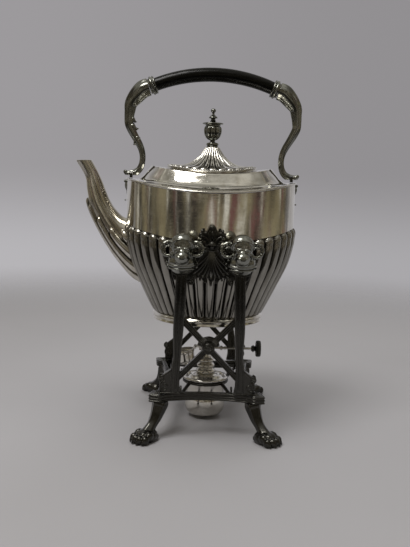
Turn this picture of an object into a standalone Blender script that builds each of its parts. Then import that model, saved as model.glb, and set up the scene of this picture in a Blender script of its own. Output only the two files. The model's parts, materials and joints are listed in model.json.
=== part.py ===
"""A tilting spirit kettle on its stand, with the spirit lamp that stands beneath it.

Metres, +Z up. The spout points to -X and the fronts of stand and kettle face -Y. Everything is built
about the kettle's own axis, and the last step moves the whole so that its box is centred on the origin.
"""

import math

import bmesh
import bpy
from mathutils import Matrix, Vector

# Clearances
PLAY = 0.0003
BEZEL_PLAY = 0.0006
OVERRUN = 0.004

WELD = 0.00001
JOINT_MARK = 0.01

# Heights that the whole object hangs on
PIVOT_HEIGHT = 0.192
BODY_FLOOR_HEIGHT = 0.1163
BEAD_HEIGHT = 0.1937
SHOULDER_HEIGHT = 0.2397
LID_STEP = 0.0193
GRIP_STEP = 0.1207
HINGE_STEP = 0.0173
SPOUT_MOUTH_STEP = 0.0299
LID_HEIGHT = SHOULDER_HEIGHT + LID_STEP
GRIP_HEIGHT = SHOULDER_HEIGHT + GRIP_STEP
HINGE_HEIGHT = SHOULDER_HEIGHT + HINGE_STEP

# Kettle body
BODY_HALF_LENGTH = 0.0875
BODY_HALF_DEPTH = 0.0757
BODY_FOOT_RADIUS = 0.0555
BODY_WALL = 0.0015
BEAD_SHEER = 0.013
SHOULDER_SHEER = 0.0117
LOBES = 44
LOBE_RISE = 0.0022
LOBE_COLUMN_SHARES = (1.0, 0.0)
GADROON_SHARES = (
    (1.0, 0.989, 0.0),
    (0.984, 0.988, 0.92),
    (0.955, 0.986, 1.1),
    (0.82, 0.972, 0.95),
    (0.62, 0.913, 0.9),
    (0.37, 0.798, 0.8),
    (0.09, 0.675, 0.6),
    (0.0, 0.634, 0.0),
)
LINING_SHARES = (0.95, 0.78, 0.55, 0.3)
LINING_COLUMNS = 44

# Foot ring beneath the body
FOOT_RING_HEIGHT = 0.008
FOOT_RING_RADIUS = 0.0581
FOOT_RING_WIDTH = 0.0075
FOOT_RING_STEPS = 36
FOOT_RING_SHARES = (
    (0.62, 1.0),
    (0.66, 0.82),
    (1.0, 0.64),
    (0.82, 0.34),
    (0.93, 0.0),
    (0.1, 0.0),
    (0.0, 1.0),
)

# Shoulder: lip, flat, hollow-sided collar and the flange that carries the lid
SHEET = 0.0015
LUG_SEAT_SHARE = 0.085
SHOULDER_COLUMNS = 40
COLLAR_RISE = 0.0189
SHOULDER_DEPTH_LOSS = 0.0118
COLLAR_CORNER_SHARE = 0.05
SHOULDER_LENGTH_SHARES = (1.009, 1.0125, 1.001, 0.937, 0.869, 0.817, 0.766, 0.7246, 0.7154)
SHOULDER_RISE_SHARES = (0.0, 0.079, 0.106, 0.153, 0.27, 0.407, 0.683, 0.926, 1.0)
SHOULDER_SHEER_SHARES = (1.0, 1.0, 1.0, 0.855, 0.667, 0.675, 0.684, 0.684, 0.667)
SHOULDER_CORNER_SHARES = (0.0, 0.0, 0.0, 0.0, 0.3, 0.6, 0.9, 1.0, 1.0)

# Lid
LID_HALF_LENGTH = 0.047
LID_HALF_DEPTH = 0.044
LID_SHEER = 0.0058
LID_SEAT = 0.002
LID_WALL = 0.0011
LID_RISE = 0.0216
LID_TOP_RADIUS = 0.007
LID_FLUTES = 28
FLUTE_RISE = 0.0012
LID_LENGTH_SHARES = (1.0, 1.0, 0.93, 0.88, 0.85, 0.6, 0.42, 0.27, 0.149)
LID_RISE_SHARES = (0.0, 0.05, 0.065, 0.07, 0.115, 0.215, 0.4, 0.66, 0.985)
LID_FLUTE_SHARES = (0.0, 0.0, 0.0, 0.0, 1.0, 0.7, 0.55, 0.4, 0.0)
LID_LINING_SHARES = ((0.22, 0.66), (0.36, 0.38), (0.55, 0.19), (0.8, 0.08), (0.955, 0.0))
BEZEL_DEPTH = 0.0042
BEZEL_WALL = 0.0011

# Lid hinge
LID_HINGE_RADIUS = 0.0018
LID_HINGE_PIN_RADIUS = 0.0008
LID_HINGE_WIDTH = 0.016
LID_HINGE_REACH = 0.0042
LID_HINGE_LEAF = 0.0012

# Finial
FINIAL_HEIGHT = 0.040
FINIAL_RADIUS = 0.0108
FINIAL_STEPS = 12
FINIAL_STUD_RADIUS = 0.002
FINIAL_STUD_LENGTH = 0.0062
FINIAL_NUT_RADIUS = 0.0048
FINIAL_NUT_HEIGHT = 0.0026
FINIAL_SHARES = (
    (0.0, 1.0),
    (0.2, 0.97),
    (0.26, 0.92),
    (0.17, 0.83),
    (0.38, 0.77),
    (0.38, 0.74),
    (0.2, 0.7),
    (0.5, 0.63),
    (1.0, 0.6),
    (0.97, 0.575),
    (0.74, 0.55),
    (0.79, 0.48),
    (0.72, 0.33),
    (0.5, 0.22),
    (0.26, 0.17),
    (0.6, 0.1),
    (0.6, 0.05),
    (0.5, 0.0),
)

# Spout: upper edge, lower edge and half-width of its sections, from the body to the mouth
SPOUT_REACH = 0.0640
SPOUT_SPAN_X = 0.0767
SPOUT_SPAN_Z = SHOULDER_HEIGHT + SPOUT_MOUTH_STEP - BODY_FLOOR_HEIGHT - PLAY
SPOUT_LOBE_LIMIT_SHARE = 0.2
SPOUT_ROOT_HALF_WIDTH = 0.019
SPOUT_WALL = 0.0013
SPOUT_COLUMNS = 16
SPOUT_LOBE_RISE = 0.0014
SPOUT_UPPER_SHARES = (
    (0.156, 0.593),
    (0.261, 0.611),
    (0.372, 0.635),
    (0.463, 0.681),
    (0.535, 0.737),
    (0.593, 0.802),
    (0.651, 0.874),
    (0.711, 0.939),
    (0.781, 1.0),
)
SPOUT_LOWER_SHARES = (
    (0.0, 0.175),
    (0.183, 0.22),
    (0.391, 0.331),
    (0.567, 0.456),
    (0.704, 0.576),
    (0.808, 0.691),
    (0.851, 0.795),
    (0.88, 0.893),
    (1.0, 0.995),
)
SPOUT_WIDTH_SHARES = (1.0, 0.95, 0.82, 0.68, 0.57, 0.49, 0.43, 0.4, 0.41)
SPOUT_LOBE_SHARES = (1.0, 1.0, 1.0, 0.9, 0.5, 0.0, 0.0, 0.0, 0.0)
STRAINER_HOLE_RADIUS = 0.0026
STRAINER_PITCH = 0.0085
STRAINER_HEIGHT = 0.178

# Bail handle
GRIP_HALF_SPAN = 0.062
GRIP_RISE = 0.0125
GRIP_RADIUS = 0.0075
GRIP_POINTS = 13
FERRULE_RADIUS = 0.0098
FERRULE_LENGTH = 0.0075
FERRULE_SHARES = (
    (0.88, 1.0),
    (0.96, 0.9),
    (0.96, 0.72),
    (0.88, 0.62),
    (1.0, 0.48),
    (1.0, 0.32),
    (0.82, 0.2),
    (0.82, 0.0),
)
FERRULE_SOCKET_DEPTH = 0.0028
ARM_RADIUS = 0.0062
HINGE_HALF_SPAN = 0.0835
ARM_RISE = 0.0895
ARM_POINT_SHARES = (
    (0.785, 1.0, 0.97),
    (0.86, 0.955, 0.98),
    (0.94, 0.885, 0.92),
    (1.0, 0.79, 0.84),
    (1.035, 0.685, 0.76),
    (1.025, 0.59, 0.7),
    (0.985, 0.50, 0.66),
    (0.925, 0.405, 0.6),
    (0.88, 0.32, 0.58),
    (0.862, 0.235, 0.6),
    (0.868, 0.15, 0.6),
    (0.898, 0.075, 0.62),
    (0.95, 0.03, 0.66),
    (1.01, 0.022, 0.62),
    (1.065, 0.028, 0.45),
    (1.095, 0.045, 0.25),
)
SPUR_RADIUS = 0.0026
SPUR_SHARES = ((0.935, 0.545), (0.955, 0.37))
EAR_THICKNESS = 0.003
EAR_RADIUS = 0.0025
HINGE_PIN_RADIUS = 0.0011
HINGE_PIN_LENGTH = 0.0105
LEAF_DROP_LENGTH = 0.022
LEAF_DROP_WIDTH = 0.010
LEAF_DROP_THICKNESS = 0.0026
LEAF_DROP_SHARES = (
    (0.0, 0.0),
    (0.2, 0.22),
    (0.34, 0.45),
    (0.3, 0.62),
    (0.5, 0.74),
    (0.36, 0.9),
    (0.42, 1.0),
)

# Pivots that carry the kettle
KETTLE_BOSS_RADIUS = 0.0062
KETTLE_BOSS_LENGTH = 0.0026
PIVOT_PIN_RADIUS = 0.0025
PIVOT_HEAD_RADIUS = 0.0042
PIVOT_HEAD_LENGTH = 0.004

# Stand frames, front and back alike
BASE_TOP_HEIGHT = 0.044
FRAME_FOOT_REACH = 0.070
FRAME_TOP_REACH = 0.0858
FRAME_THICKNESS = 0.007
LEG_HEIGHT = 0.1215
LEG_HALF_SPAN = 0.031
LEG_BEVEL = 0.0012
LEG_INNER_SHARES = (
    (0.72, 1.0),
    (0.735, 0.82),
    (0.79, 0.54),
    (0.845, 0.35),
    (0.875, 0.18),
    (0.875, 0.06),
    (0.83, 0.0),
)
LEG_OUTER_SHARES = (
    (1.49, 0.0),
    (1.49, 0.1),
    (1.55, 0.125),
    (1.47, 0.145),
    (1.15, 0.205),
    (1.09, 0.3),
    (1.115, 0.54),
    (1.09, 0.82),
    (1.06, 1.0),
)
BRACE_WIDTH = 0.0052
BRACE_DEPTH = 0.005
BRACE_LENGTH = 0.092
BRACE_HEIGHT = 0.0478
BRACE_ANGLE = math.radians(47)
BRACE_BOSS_RADIUS = 0.006
BRACE_BOSS_DEPTH = 0.009
BRACE_HOOD_RADIUS = 0.009
BRACE_HOOD_WIDTH = 0.0022
BRACKET_SEAT_SHARE = 0.125
BRACKET_HALF_WIDTH = 0.038
BRACKET_HEIGHT = 0.046
BRACKET_SHARES = (
    (0.0, -0.13),
    (0.09, 0.0),
    (0.17, -0.09),
    (0.26, 0.02),
    (0.36, -0.03),
    (0.93, -0.03),
    (0.99, 0.35),
    (0.96, 0.6),
    (0.82, 0.76),
    (0.62, 0.78),
    (0.44, 0.66),
    (0.36, 0.52),
    (0.22, 0.56),
    (0.19, 0.68),
    (0.2, 0.78),
    (0.3, 0.83),
    (0.33, 0.92),
    (0.25, 0.97),
    (0.14, 0.95),
    (0.12, 1.05),
    (0.0, 1.1),
)

# Animal heads on the leg tops
HEAD_HALF_SPAN = 0.0275
HEAD_HEIGHT = 0.143
HEAD_SIZE = 0.0105
HEAD_BALL_SHARES = (
    ("skull", (0.0, -0.85, 0.75), (1.0, 0.9, 1.0), 10, 6),
    ("jaw", (0.0, -0.75, -0.75), (1.2, 0.95, 1.15), 10, 6),
    ("muzzle", (0.0, -1.6, -0.15), (0.68, 0.85, 0.66), 8, 5),
)
HORN_PLACE_SHARES = (1.28, -0.7, 0.3)
HORN_RADIUS = 0.0058
HORN_THICKNESS = 0.0021
HORN_STEPS = 9
HORN_SIDES = 5

# Base: an incurved frame with pointed corners
BASE_THICKNESS = 0.0075
BASE_BEVEL = 0.0012
BASE_HALF_LENGTH = 0.057
BASE_HALF_DEPTH = 0.076
BASE_OUTER_SHARES = (
    (0.0, 0.88),
    (0.35, 0.9),
    (0.68, 0.955),
    (0.8, 1.035),
    (1.0, 1.0),
    (0.97, 0.84),
    (0.86, 0.76),
    (0.79, 0.4),
    (0.77, 0.0),
)
BASE_INNER_SHARES = (
    (0.0, 0.78),
    (0.35, 0.795),
    (0.63, 0.84),
    (0.665, 0.77),
    (0.645, 0.4),
    (0.63, 0.0),
)

# Paw feet under the corners
PAW_REACH_X = 0.058
PAW_REACH_Y = 0.0835
PAW_SIZE = 0.0105
PAW_LEG_POINT_SHARES = (
    (0.0, 1.0, 1.0),
    (0.1, 0.83, 0.98),
    (0.32, 0.6, 0.84),
    (0.62, 0.4, 0.72),
    (1.0, 0.2, 0.86),
)
PAW_LEG_RADIUS = 0.0076
TOE_STEPS = (8, 5)
PAW_TOP_X = 0.045
PAW_TOP_Y = 0.069
PAW_BALL_SHARES = (
    ("pad", (-0.1, 0.0, 0.52), (1.15, 0.92, 0.8)),
    ("toe_inner", (0.72, -0.72, 0.4), (0.62, 0.38, 0.52)),
    ("toe_middle_inner", (0.95, -0.25, 0.44), (0.66, 0.36, 0.56)),
    ("toe_middle_outer", (0.95, 0.25, 0.44), (0.66, 0.36, 0.56)),
    ("toe_outer", (0.72, 0.72, 0.4), (0.62, 0.38, 0.52)),
)

# Lamp carrier: a ring on four scrolled arms
CARRIER_RADIUS = 0.0245
CARRIER_WIDTH = 0.0028
CARRIER_THICKNESS = 0.0026
CARRIER_HEIGHT = 0.0383
CARRIER_ARM_RADIUS = 0.0019
CARRIER_ARM_SHARES = (
    (0.68, 0.64, 0.0),
    (0.82, 0.95, -0.55),
    (1.02, 1.42, -1.3),
    (1.24, 1.95, -0.9),
    (1.6, 2.6, 0.0),
)
CARRIER_ARM_DROP = 0.0042

# Lamp
LAMP_RIM_HEIGHT = 0.043
LAMP_RIM_RADIUS = 0.0224
LAMP_ROLL = 0.0018
LAMP_BOWL_DEPTH = 0.0405
LAMP_WALL = 0.0012
LAMP_BOWL_SHARES = (
    (0.95, 0.96),
    (0.885, 0.65),
    (0.955, 0.34),
    (0.86, 0.1),
    (0.62, 0.0),
)
LAMP_STEPS = 20
COVER_RISE = 0.004
COVER_WALL = 0.0012
COVER_HOLE_RADIUS = 0.0062
BURNER_RADIUS = 0.0102
BURNER_TOP_HEIGHT = 0.082
BURNER_STEPS = 14
BURNER_BORE_RADIUS = 0.0044
BURNER_SHARES = (
    (0.74, 1.0),
    (0.79, 0.975),
    (0.79, 0.9),
    (0.56, 0.84),
    (0.56, 0.5),
    (0.8, 0.44),
    (0.8, 0.38),
    (0.66, 0.34),
    (0.92, 0.27),
    (0.92, 0.21),
    (0.76, 0.17),
    (1.0, 0.1),
    (1.0, 0.0),
)
WICK_RADIUS = 0.0032
WICK_STAND = 0.0016
WICK_FOOT_HEIGHT = 0.012
WINDER_HEIGHT = 0.0735
WINDER_RADIUS = 0.0013
WINDER_END = 0.049
WINDER_BOSS_RADIUS = 0.0031
WINDER_BOSS_HALF_LENGTH = 0.0075
SPROCKET_RADIUS = 0.0020
SPROCKET_THICKNESS = 0.0016
KNOB_RADIUS = 0.0088
KNOB_LENGTH = 0.0105
KNOB_SHARES = (
    (0.0, 1.0),
    (0.45, 1.0),
    (0.6, 0.93),
    (0.93, 0.9),
    (1.0, 0.8),
    (1.0, 0.6),
    (0.9, 0.5),
    (0.5, 0.42),
    (0.34, 0.3),
    (0.42, 0.0),
    (0.0, 0.0),
)
CAP_RADIUS = 0.0100
CAP_HEIGHT = 0.0165
CAP_WALL = 0.0009
CAP_STEPS = 16
CAP_SHARES = (
    (0.0, 1.0),
    (0.45, 0.985),
    (0.8, 0.91),
    (0.95, 0.76),
    (0.95, 0.16),
    (1.0, 0.12),
    (1.0, 0.0),
)
CAP_HINGE_REACH = 0.0118
CAP_HINGE_HEIGHT = 0.0764
CAP_MOUTH_RISE = 0.0019
CAP_OPEN_ANGLE = math.radians(190)
CAP_HINGE_RADIUS = 0.0013
CAP_HINGE_PIN_RADIUS = 0.0006
CAP_HINGE_WIDTH = 0.006

SIDE_NAMES = {-1: "left", 1: "right"}

# Finishes: colour, roughness, metallic
FINISHES = {
    "silver_plate": ((0.62, 0.60, 0.55), 0.16, 1.0),
    "dark_plate": ((0.15, 0.16, 0.145), 0.34, 1.0),
    "lamp_plate": ((0.66, 0.64, 0.58), 0.2, 1.0),
    "ebony": ((0.030, 0.034, 0.028), 0.3, 0.0),
    "wick_cotton": ((0.74, 0.70, 0.60), 0.95, 0.0),
}
SHARP_ANGLE = math.radians(35)

PARTS = None
CUTTERS = None
MATERIALS = {}


def start_scene():
    """Empties the scene and makes the two collections and the materials."""
    global PARTS, CUTTERS
    for obj in list(bpy.data.objects):
        bpy.data.objects.remove(obj, do_unlink=True)
    PARTS = bpy.data.collections.new("spirit_kettle")
    CUTTERS = bpy.data.collections.new("cutters")
    CUTTERS.hide_render = True
    for group in (PARTS, CUTTERS):
        bpy.context.scene.collection.children.link(group)
    for name, (colour, roughness, metallic) in FINISHES.items():
        material = bpy.data.materials.new(name)
        material.use_nodes = True
        shader = material.node_tree.nodes["Principled BSDF"]
        shader.inputs["Base Color"].default_value = (*colour, 1.0)
        shader.inputs["Roughness"].default_value = roughness
        shader.inputs["Metallic"].default_value = metallic
        MATERIALS[name] = material


def place(name, data, finish=None, parent=None, at=(0, 0, 0), turn=(0, 0, 0)):
    """Links a new object with this mesh, curve or None; one with no finish is a cutter or an empty."""
    obj = bpy.data.objects.new(name, data)
    group = PARTS if finish or data is None else CUTTERS
    group.objects.link(obj)
    obj.location = at
    obj.rotation_euler = turn
    if finish:
        data.materials.clear()
        data.materials.append(MATERIALS[finish])
    elif data is not None:
        obj.hide_render = True
        obj.display_type = "WIRE"
    if parent:
        obj.parent = parent
    return obj


def world_of(obj):
    bpy.context.view_layer.update()
    return obj.matrix_world.copy()


def joint(name, at, parent=None):
    """An empty on a joint's axis, placed in world coordinates."""
    empty = place(name, None)
    empty.empty_display_size = JOINT_MARK
    if parent:
        hang(empty, parent)
    empty.matrix_world = Matrix.Translation(Vector(at))
    bpy.context.view_layer.update()
    return empty


def hang(obj, parent):
    """Parents an object that is already in its place."""
    obj.parent = parent
    obj.matrix_parent_inverse = world_of(parent).inverted()


def mesh_of(name, build):
    """A mesh from a function that fills a bmesh, with its faces turned outwards."""
    bm = bmesh.new()
    build(bm)
    bmesh.ops.recalc_face_normals(bm, faces=bm.faces)
    mesh = bpy.data.meshes.new(name)
    bm.to_mesh(mesh)
    bm.free()
    smooth(mesh)
    return mesh


def smooth(mesh):
    mesh.shade_smooth()
    mesh.set_sharp_from_angle(angle=SHARP_ANGLE)


def evaluated_mesh(obj):
    """The object's mesh with its modifiers or curve settings applied, loose caps welded."""
    bpy.context.view_layer.update()
    graph = bpy.context.evaluated_depsgraph_get()
    mesh = bpy.data.meshes.new_from_object(obj.evaluated_get(graph))
    bm = bmesh.new()
    bm.from_mesh(mesh)
    bmesh.ops.remove_doubles(bm, verts=bm.verts, dist=WELD)
    bm.to_mesh(mesh)
    bm.free()
    smooth(mesh)
    return mesh


def join_rings(bm, upper, lower):
    """Faces between two rings of vertices, one of which may have a whole multiple of the other's."""
    if len(upper) < len(lower):
        join_rings(bm, lower, upper)
        return
    fine, coarse = len(upper), len(lower)
    step = fine // coarse
    for i in range(coarse):
        here, there = lower[i], lower[(i + 1) % coarse]
        if step == 1:
            bm.faces.new((upper[i], here, there, upper[(i + 1) % fine]))
            continue
        span = [upper[(i * step + k) % fine] for k in range(step + 1)]
        middle = step // 2
        for k in range(step):
            corner = here if k < middle else there
            bm.faces.new((span[k], corner, span[k + 1]))
        bm.faces.new((span[middle], here, there))


def loft(name, rings, looped=False):
    """A closed mesh over rings of points; a looped one runs from the last ring back to the first."""

    def build(bm):
        made = [[bm.verts.new(point) for point in ring] for ring in rings]
        for upper, lower in zip(made, made[1:]):
            join_rings(bm, upper, lower)
        if looped:
            join_rings(bm, made[-1], made[0])
        else:
            bm.faces.new(made[0])
            bm.faces.new(list(reversed(made[-1])))

    return mesh_of(name, build)


def turned(name, points, steps, finish=None, parent=None, at=(0, 0, 0), turn=(0, 0, 0), looped=False):
    """A Screw of a profile of (radius, height), which runs down its outer side."""
    mesh = bpy.data.meshes.new(name)
    edges = [(i, i + 1) for i in range(len(points) - 1)]
    if looped:
        edges.append((len(points) - 1, 0))
    mesh.from_pydata([(radius, 0, height) for radius, height in points], edges, [])
    obj = place(name, mesh, finish, parent, at, turn)
    screw = obj.modifiers.new("turn", "SCREW")
    screw.steps = screw.render_steps = steps
    screw.use_merge_vertices = True
    screw.merge_threshold = WELD
    screw.use_smooth_shade = True
    return obj


def scaled(shares, width, height, foot=0.0):
    """Shares of a width and a height as points."""
    return [(across * width, foot + up * height) for across, up in shares]


def outline(name, points, thickness, bevel=0.0, holes=()):
    """A flat 2D curve in XY, extruded to a thickness about its own plane."""
    curve = bpy.data.curves.new(name, "CURVE")
    curve.dimensions = "2D"
    curve.fill_mode = "BOTH"
    curve.extrude = thickness / 2 - bevel
    curve.bevel_depth = bevel
    curve.bevel_resolution = 0
    curve.offset = -bevel
    for loop in (points, *holes):
        spline = curve.splines.new("POLY")
        spline.points.add(len(loop) - 1)
        for slot, (x, y) in zip(spline.points, loop):
            slot.co = (x, y, 0, 1)
        spline.use_cyclic_u = True
    return curve


def plate(name, points, thickness, bevel=0.0, holes=(), upright=False):
    """The mesh of an extruded outline; an upright one stands in XZ instead of lying in XY."""
    curve = outline(name, points, thickness, bevel, holes)
    obj = place(name + "_outline", curve)
    mesh = evaluated_mesh(obj)
    bpy.data.objects.remove(obj)
    bpy.data.curves.remove(curve)
    mesh.name = name
    if upright:
        mesh.transform(Matrix.Rotation(math.pi / 2, 4, "X"))
    return mesh


def tube(name, points, radius, radius_shares=None, resolution=2):
    """The mesh of a round bar along points."""
    curve = bpy.data.curves.new(name, "CURVE")
    curve.dimensions = "3D"
    curve.bevel_depth = radius
    curve.bevel_resolution = resolution
    curve.use_fill_caps = True
    spline = curve.splines.new("POLY")
    spline.points.add(len(points) - 1)
    for i, (slot, point) in enumerate(zip(spline.points, points)):
        slot.co = (*point, 1)
        slot.radius = radius_shares[i] if radius_shares else 1.0
    obj = place(name + "_path", curve)
    mesh = evaluated_mesh(obj)
    bpy.data.objects.remove(obj)
    bpy.data.curves.remove(curve)
    mesh.name = name
    return mesh


def ball(name, radii, at, segments, rings):
    """An ellipsoid."""

    def build(bm):
        bmesh.ops.create_uvsphere(bm, u_segments=segments, v_segments=rings, radius=1)
        bmesh.ops.scale(bm, vec=radii, verts=bm.verts)
        bmesh.ops.translate(bm, vec=at, verts=bm.verts)

    return mesh_of(name, build)


def block(name, lower, upper):
    """A box between two corners."""

    def build(bm):
        bmesh.ops.create_cube(bm, size=1)
        size = [high - low for low, high in zip(lower, upper)]
        middle = [(high + low) / 2 for low, high in zip(lower, upper)]
        bmesh.ops.scale(bm, vec=size, verts=bm.verts)
        bmesh.ops.translate(bm, vec=middle, verts=bm.verts)

    return mesh_of(name, build)


def rod(name, radius, start, end, steps=16):
    """A cylinder between two points."""
    start, end = Vector(start), Vector(end)

    def build(bm):
        bmesh.ops.create_cone(
            bm, cap_ends=True, segments=steps, radius1=radius, radius2=radius, depth=(end - start).length
        )
        aim = (end - start).to_track_quat("Z", "Y").to_matrix().to_4x4()
        bmesh.ops.transform(bm, matrix=Matrix.Translation((start + end) / 2) @ aim, verts=bm.verts)

    return mesh_of(name, build)


def merged(name, meshes, cuts=()):
    """One closed mesh: the union of the first list, less the second."""
    base = place(name + "_base", meshes[0])
    others = [(place(name + "_add", mesh), "UNION") for mesh in meshes[1:]]
    others += [(place(name + "_cut", mesh), "DIFFERENCE") for mesh in cuts]
    for other, operation in others:
        modifier = base.modifiers.new(operation, "BOOLEAN")
        modifier.object = other
        modifier.operation = operation
        modifier.solver = "EXACT"
    mesh = evaluated_mesh(base)
    mesh.name = name
    for obj in [base, *(other for other, _ in others)]:
        bpy.data.objects.remove(obj)
    return mesh


def mirrored(mesh, side):
    """A copy of a mesh turned over to -X when side is -1."""
    copy = mesh.copy()
    if side < 0:
        copy.transform(Matrix.Scale(-1, 4, (1, 0, 0)))
        copy.flip_normals()
    return copy


def tent(angle):
    """1 on the diagonals and 0 on the axes, with a crease on the diagonals."""
    quarter = math.pi / 2
    return (1 - abs((angle % quarter) / quarter * 2 - 1)) ** 2


def oval(half_length, half_depth, front_height, sheer, count, corner=0.0, lobe=0.0, lobe_shares=(1.0,)):
    """A level ring round the kettle's axis: an oval that climbs by sheer at its two ends."""
    ring = []
    for i in range(count):
        angle = 2 * math.pi * i / count
        across, along = math.sin(angle), math.cos(angle)
        spread = 1 + corner * tent(angle)
        outward = Vector((half_depth * along, half_length * across, 0)).normalized()
        rise = lobe * lobe_shares[i % len(lobe_shares)]
        foot = Vector((half_length * along * spread, half_depth * across * spread, front_height + sheer * along**2))
        ring.append(foot + outward * rise)
    return ring


def kettle_body():
    """The raised body: smooth above, lobed below, open at the top, with the strainer's holes."""
    height = BEAD_HEIGHT - BODY_FLOOR_HEIGHT
    narrowing = BODY_HALF_LENGTH - BODY_HALF_DEPTH
    rim_height = SHOULDER_HEIGHT - PLAY

    def level(share, length_share, lobe_share, count, inset=0.0):
        half_length = BODY_HALF_LENGTH * length_share - inset
        return oval(
            half_length,
            half_length - narrowing * share,
            BODY_FLOOR_HEIGHT + height * share,
            BEAD_SHEER * share**2,
            count,
            lobe=LOBE_RISE * lobe_share,
            lobe_shares=LOBE_COLUMN_SHARES,
        )

    columns = LOBES * len(LOBE_COLUMN_SHARES)

    def rim(inset, drop=0.0, count=columns):
        half_length = BODY_HALF_LENGTH - inset
        return oval(half_length, half_length - narrowing, rim_height - drop, SHOULDER_SHEER, count)

    outer = [rim(0), level(1.0, 1.0, 0.0, columns)]
    outer += [level(share, length, lobe, columns) for share, length, lobe in GADROON_SHARES]
    underside = level(0.0, GADROON_SHARES[-1][1], 0.0, LINING_COLUMNS, inset=BODY_WALL)
    floor = [point + Vector((0, 0, BODY_WALL)) for point in underside]
    lining = []
    for share in reversed(LINING_SHARES):
        length = share_between(share, [(low, across) for low, across, _ in reversed(GADROON_SHARES)])
        lining.append(level(share, length, 0.0, LINING_COLUMNS, inset=BODY_WALL))

    def build(bm):
        rings = outer + [underside]
        made = [[bm.verts.new(point) for point in ring] for ring in rings]
        for upper, lower in zip(made, made[1:]):
            join_rings(bm, upper, lower)
        bm.faces.new(made[-1])
        hollow = [floor] + lining + [rim(BODY_WALL, BODY_WALL, LINING_COLUMNS), rim(BODY_WALL, 0, LINING_COLUMNS)]
        inside = [[bm.verts.new(point) for point in ring] for ring in hollow]
        bm.faces.new(inside[0])
        for lower, upper in zip(inside, inside[1:]):
            join_rings(bm, lower, upper)
        join_rings(bm, made[0], inside[-1])

    shell = mesh_of("kettle_body", build)
    holes = []
    for row, column in ((0, 0), (1, 0), (-1, 0), (0.5, 1), (-0.5, 1), (0.5, -1), (-0.5, -1)):
        height = STRAINER_HEIGHT + STRAINER_PITCH * row
        y = STRAINER_PITCH * column * math.cos(math.pi / 6)
        start = (-BODY_HALF_LENGTH - OVERRUN, y, height)
        holes.append(rod("strainer_hole", STRAINER_HOLE_RADIUS, start, (-BODY_FOOT_RADIUS, y, height), 8))
    return merged("kettle_body", [shell], holes)


def share_between(share, table):
    """Reads a value off a rising table of (share, value)."""
    for (low, first), (high, last) in zip(table, table[1:]):
        if low <= share <= high:
            return first + (last - first) * (share - low) / (high - low)
    return table[-1][1]


def shoulder_levels(inset):
    """The shoulder's rings from the lip to the collar's top edge, moved in by a wall thickness."""
    rings = []
    rows = zip(SHOULDER_LENGTH_SHARES, SHOULDER_RISE_SHARES, SHOULDER_SHEER_SHARES, SHOULDER_CORNER_SHARES)
    for length, rise, sheer, corner in rows:
        half_length = BODY_HALF_LENGTH * length - inset
        rings.append(
            oval(
                half_length,
                half_length - SHOULDER_DEPTH_LOSS,
                SHOULDER_HEIGHT + COLLAR_RISE * rise - inset,
                SHOULDER_SHEER * sheer,
                SHOULDER_COLUMNS,
                corner=COLLAR_CORNER_SHARE * corner,
            )
        )
    return rings


def lid_surface_sheer(half_length):
    """How much a ring of this length climbs at its ends on the curved seat of the lid."""
    return LID_SHEER * (half_length / LID_HALF_LENGTH) ** 2


def mouth_ring(inset, height, count=SHOULDER_COLUMNS):
    """A ring round the mouth, inside the lid's rim by this much."""
    half_length = LID_HALF_LENGTH - inset
    return oval(half_length, LID_HALF_DEPTH - inset, height, lid_surface_sheer(half_length), count)


def shoulder():
    """Lip, flat, hollow-sided collar and flange, in one sheet that is open at the lid."""
    outer = shoulder_levels(0)
    inner = shoulder_levels(SHEET)
    seat = LID_HEIGHT - PLAY
    flange = [mouth_ring(LID_SEAT, seat), mouth_ring(LID_SEAT, seat - SHEET)]
    lip_foot = oval(
        BODY_HALF_LENGTH - BODY_WALL,
        BODY_HALF_LENGTH - BODY_WALL - SHOULDER_DEPTH_LOSS,
        SHOULDER_HEIGHT,
        SHOULDER_SHEER,
        SHOULDER_COLUMNS,
    )
    return loft("shoulder", outer + flange + list(reversed(inner[3::2])) + [lip_foot], looped=True)


def lid():
    """The fluted, hollow-sided dome with its rim and the hole for the finial's stud."""
    taper = LID_HALF_LENGTH - LID_TOP_RADIUS
    columns = LID_FLUTES * 2

    def level(length_share, rise_share, flute_share, count, drop=0.0):
        half_length = LID_HALF_LENGTH * length_share
        loss = (LID_HALF_LENGTH - LID_HALF_DEPTH) * (half_length - LID_TOP_RADIUS) / taper
        return oval(
            half_length,
            half_length - loss,
            LID_HEIGHT + LID_RISE * rise_share + LID_WALL - drop + LID_SHEER * (1 - length_share) * rise_share,
            lid_surface_sheer(half_length),
            count,
            lobe=FLUTE_RISE * flute_share,
            lobe_shares=(1.0, 0.0) if count == columns else (1.0,),
        )

    rows = zip(LID_LENGTH_SHARES, LID_RISE_SHARES, LID_FLUTE_SHARES)
    outer = [level(length, rise, flute, columns) for length, rise, flute in rows]
    outer[0] = level(LID_LENGTH_SHARES[0], 0.0, 0.0, columns, drop=LID_WALL)
    stud_radius = FINIAL_STUD_RADIUS + PLAY
    top = LID_HEIGHT + LID_RISE + LID_SHEER
    hole = [circle(stud_radius, top - drop, LID_FLUTES) for drop in (0.0, LID_WALL)]
    hole.append(circle(FINIAL_NUT_RADIUS + PLAY, top - LID_WALL, LID_FLUTES))
    lining = [level(length, rise, 0.0, LID_FLUTES, drop=LID_WALL) for length, rise in LID_LINING_SHARES]
    return loft("lid", outer + hole + lining, looped=True)


def circle(radius, height, count):
    return oval(radius, radius, height, 0.0, count)


def lid_bezel():
    """The ring under the lid that drops into the mouth."""
    top = LID_HEIGHT - PLAY
    play = LID_SEAT + BEZEL_PLAY
    rings = [
        mouth_ring(play, top),
        mouth_ring(play, top - BEZEL_DEPTH),
        mouth_ring(play + BEZEL_WALL, top - BEZEL_DEPTH),
        mouth_ring(play + BEZEL_WALL, top),
    ]
    return loft("lid_bezel", rings, looped=True)


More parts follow.
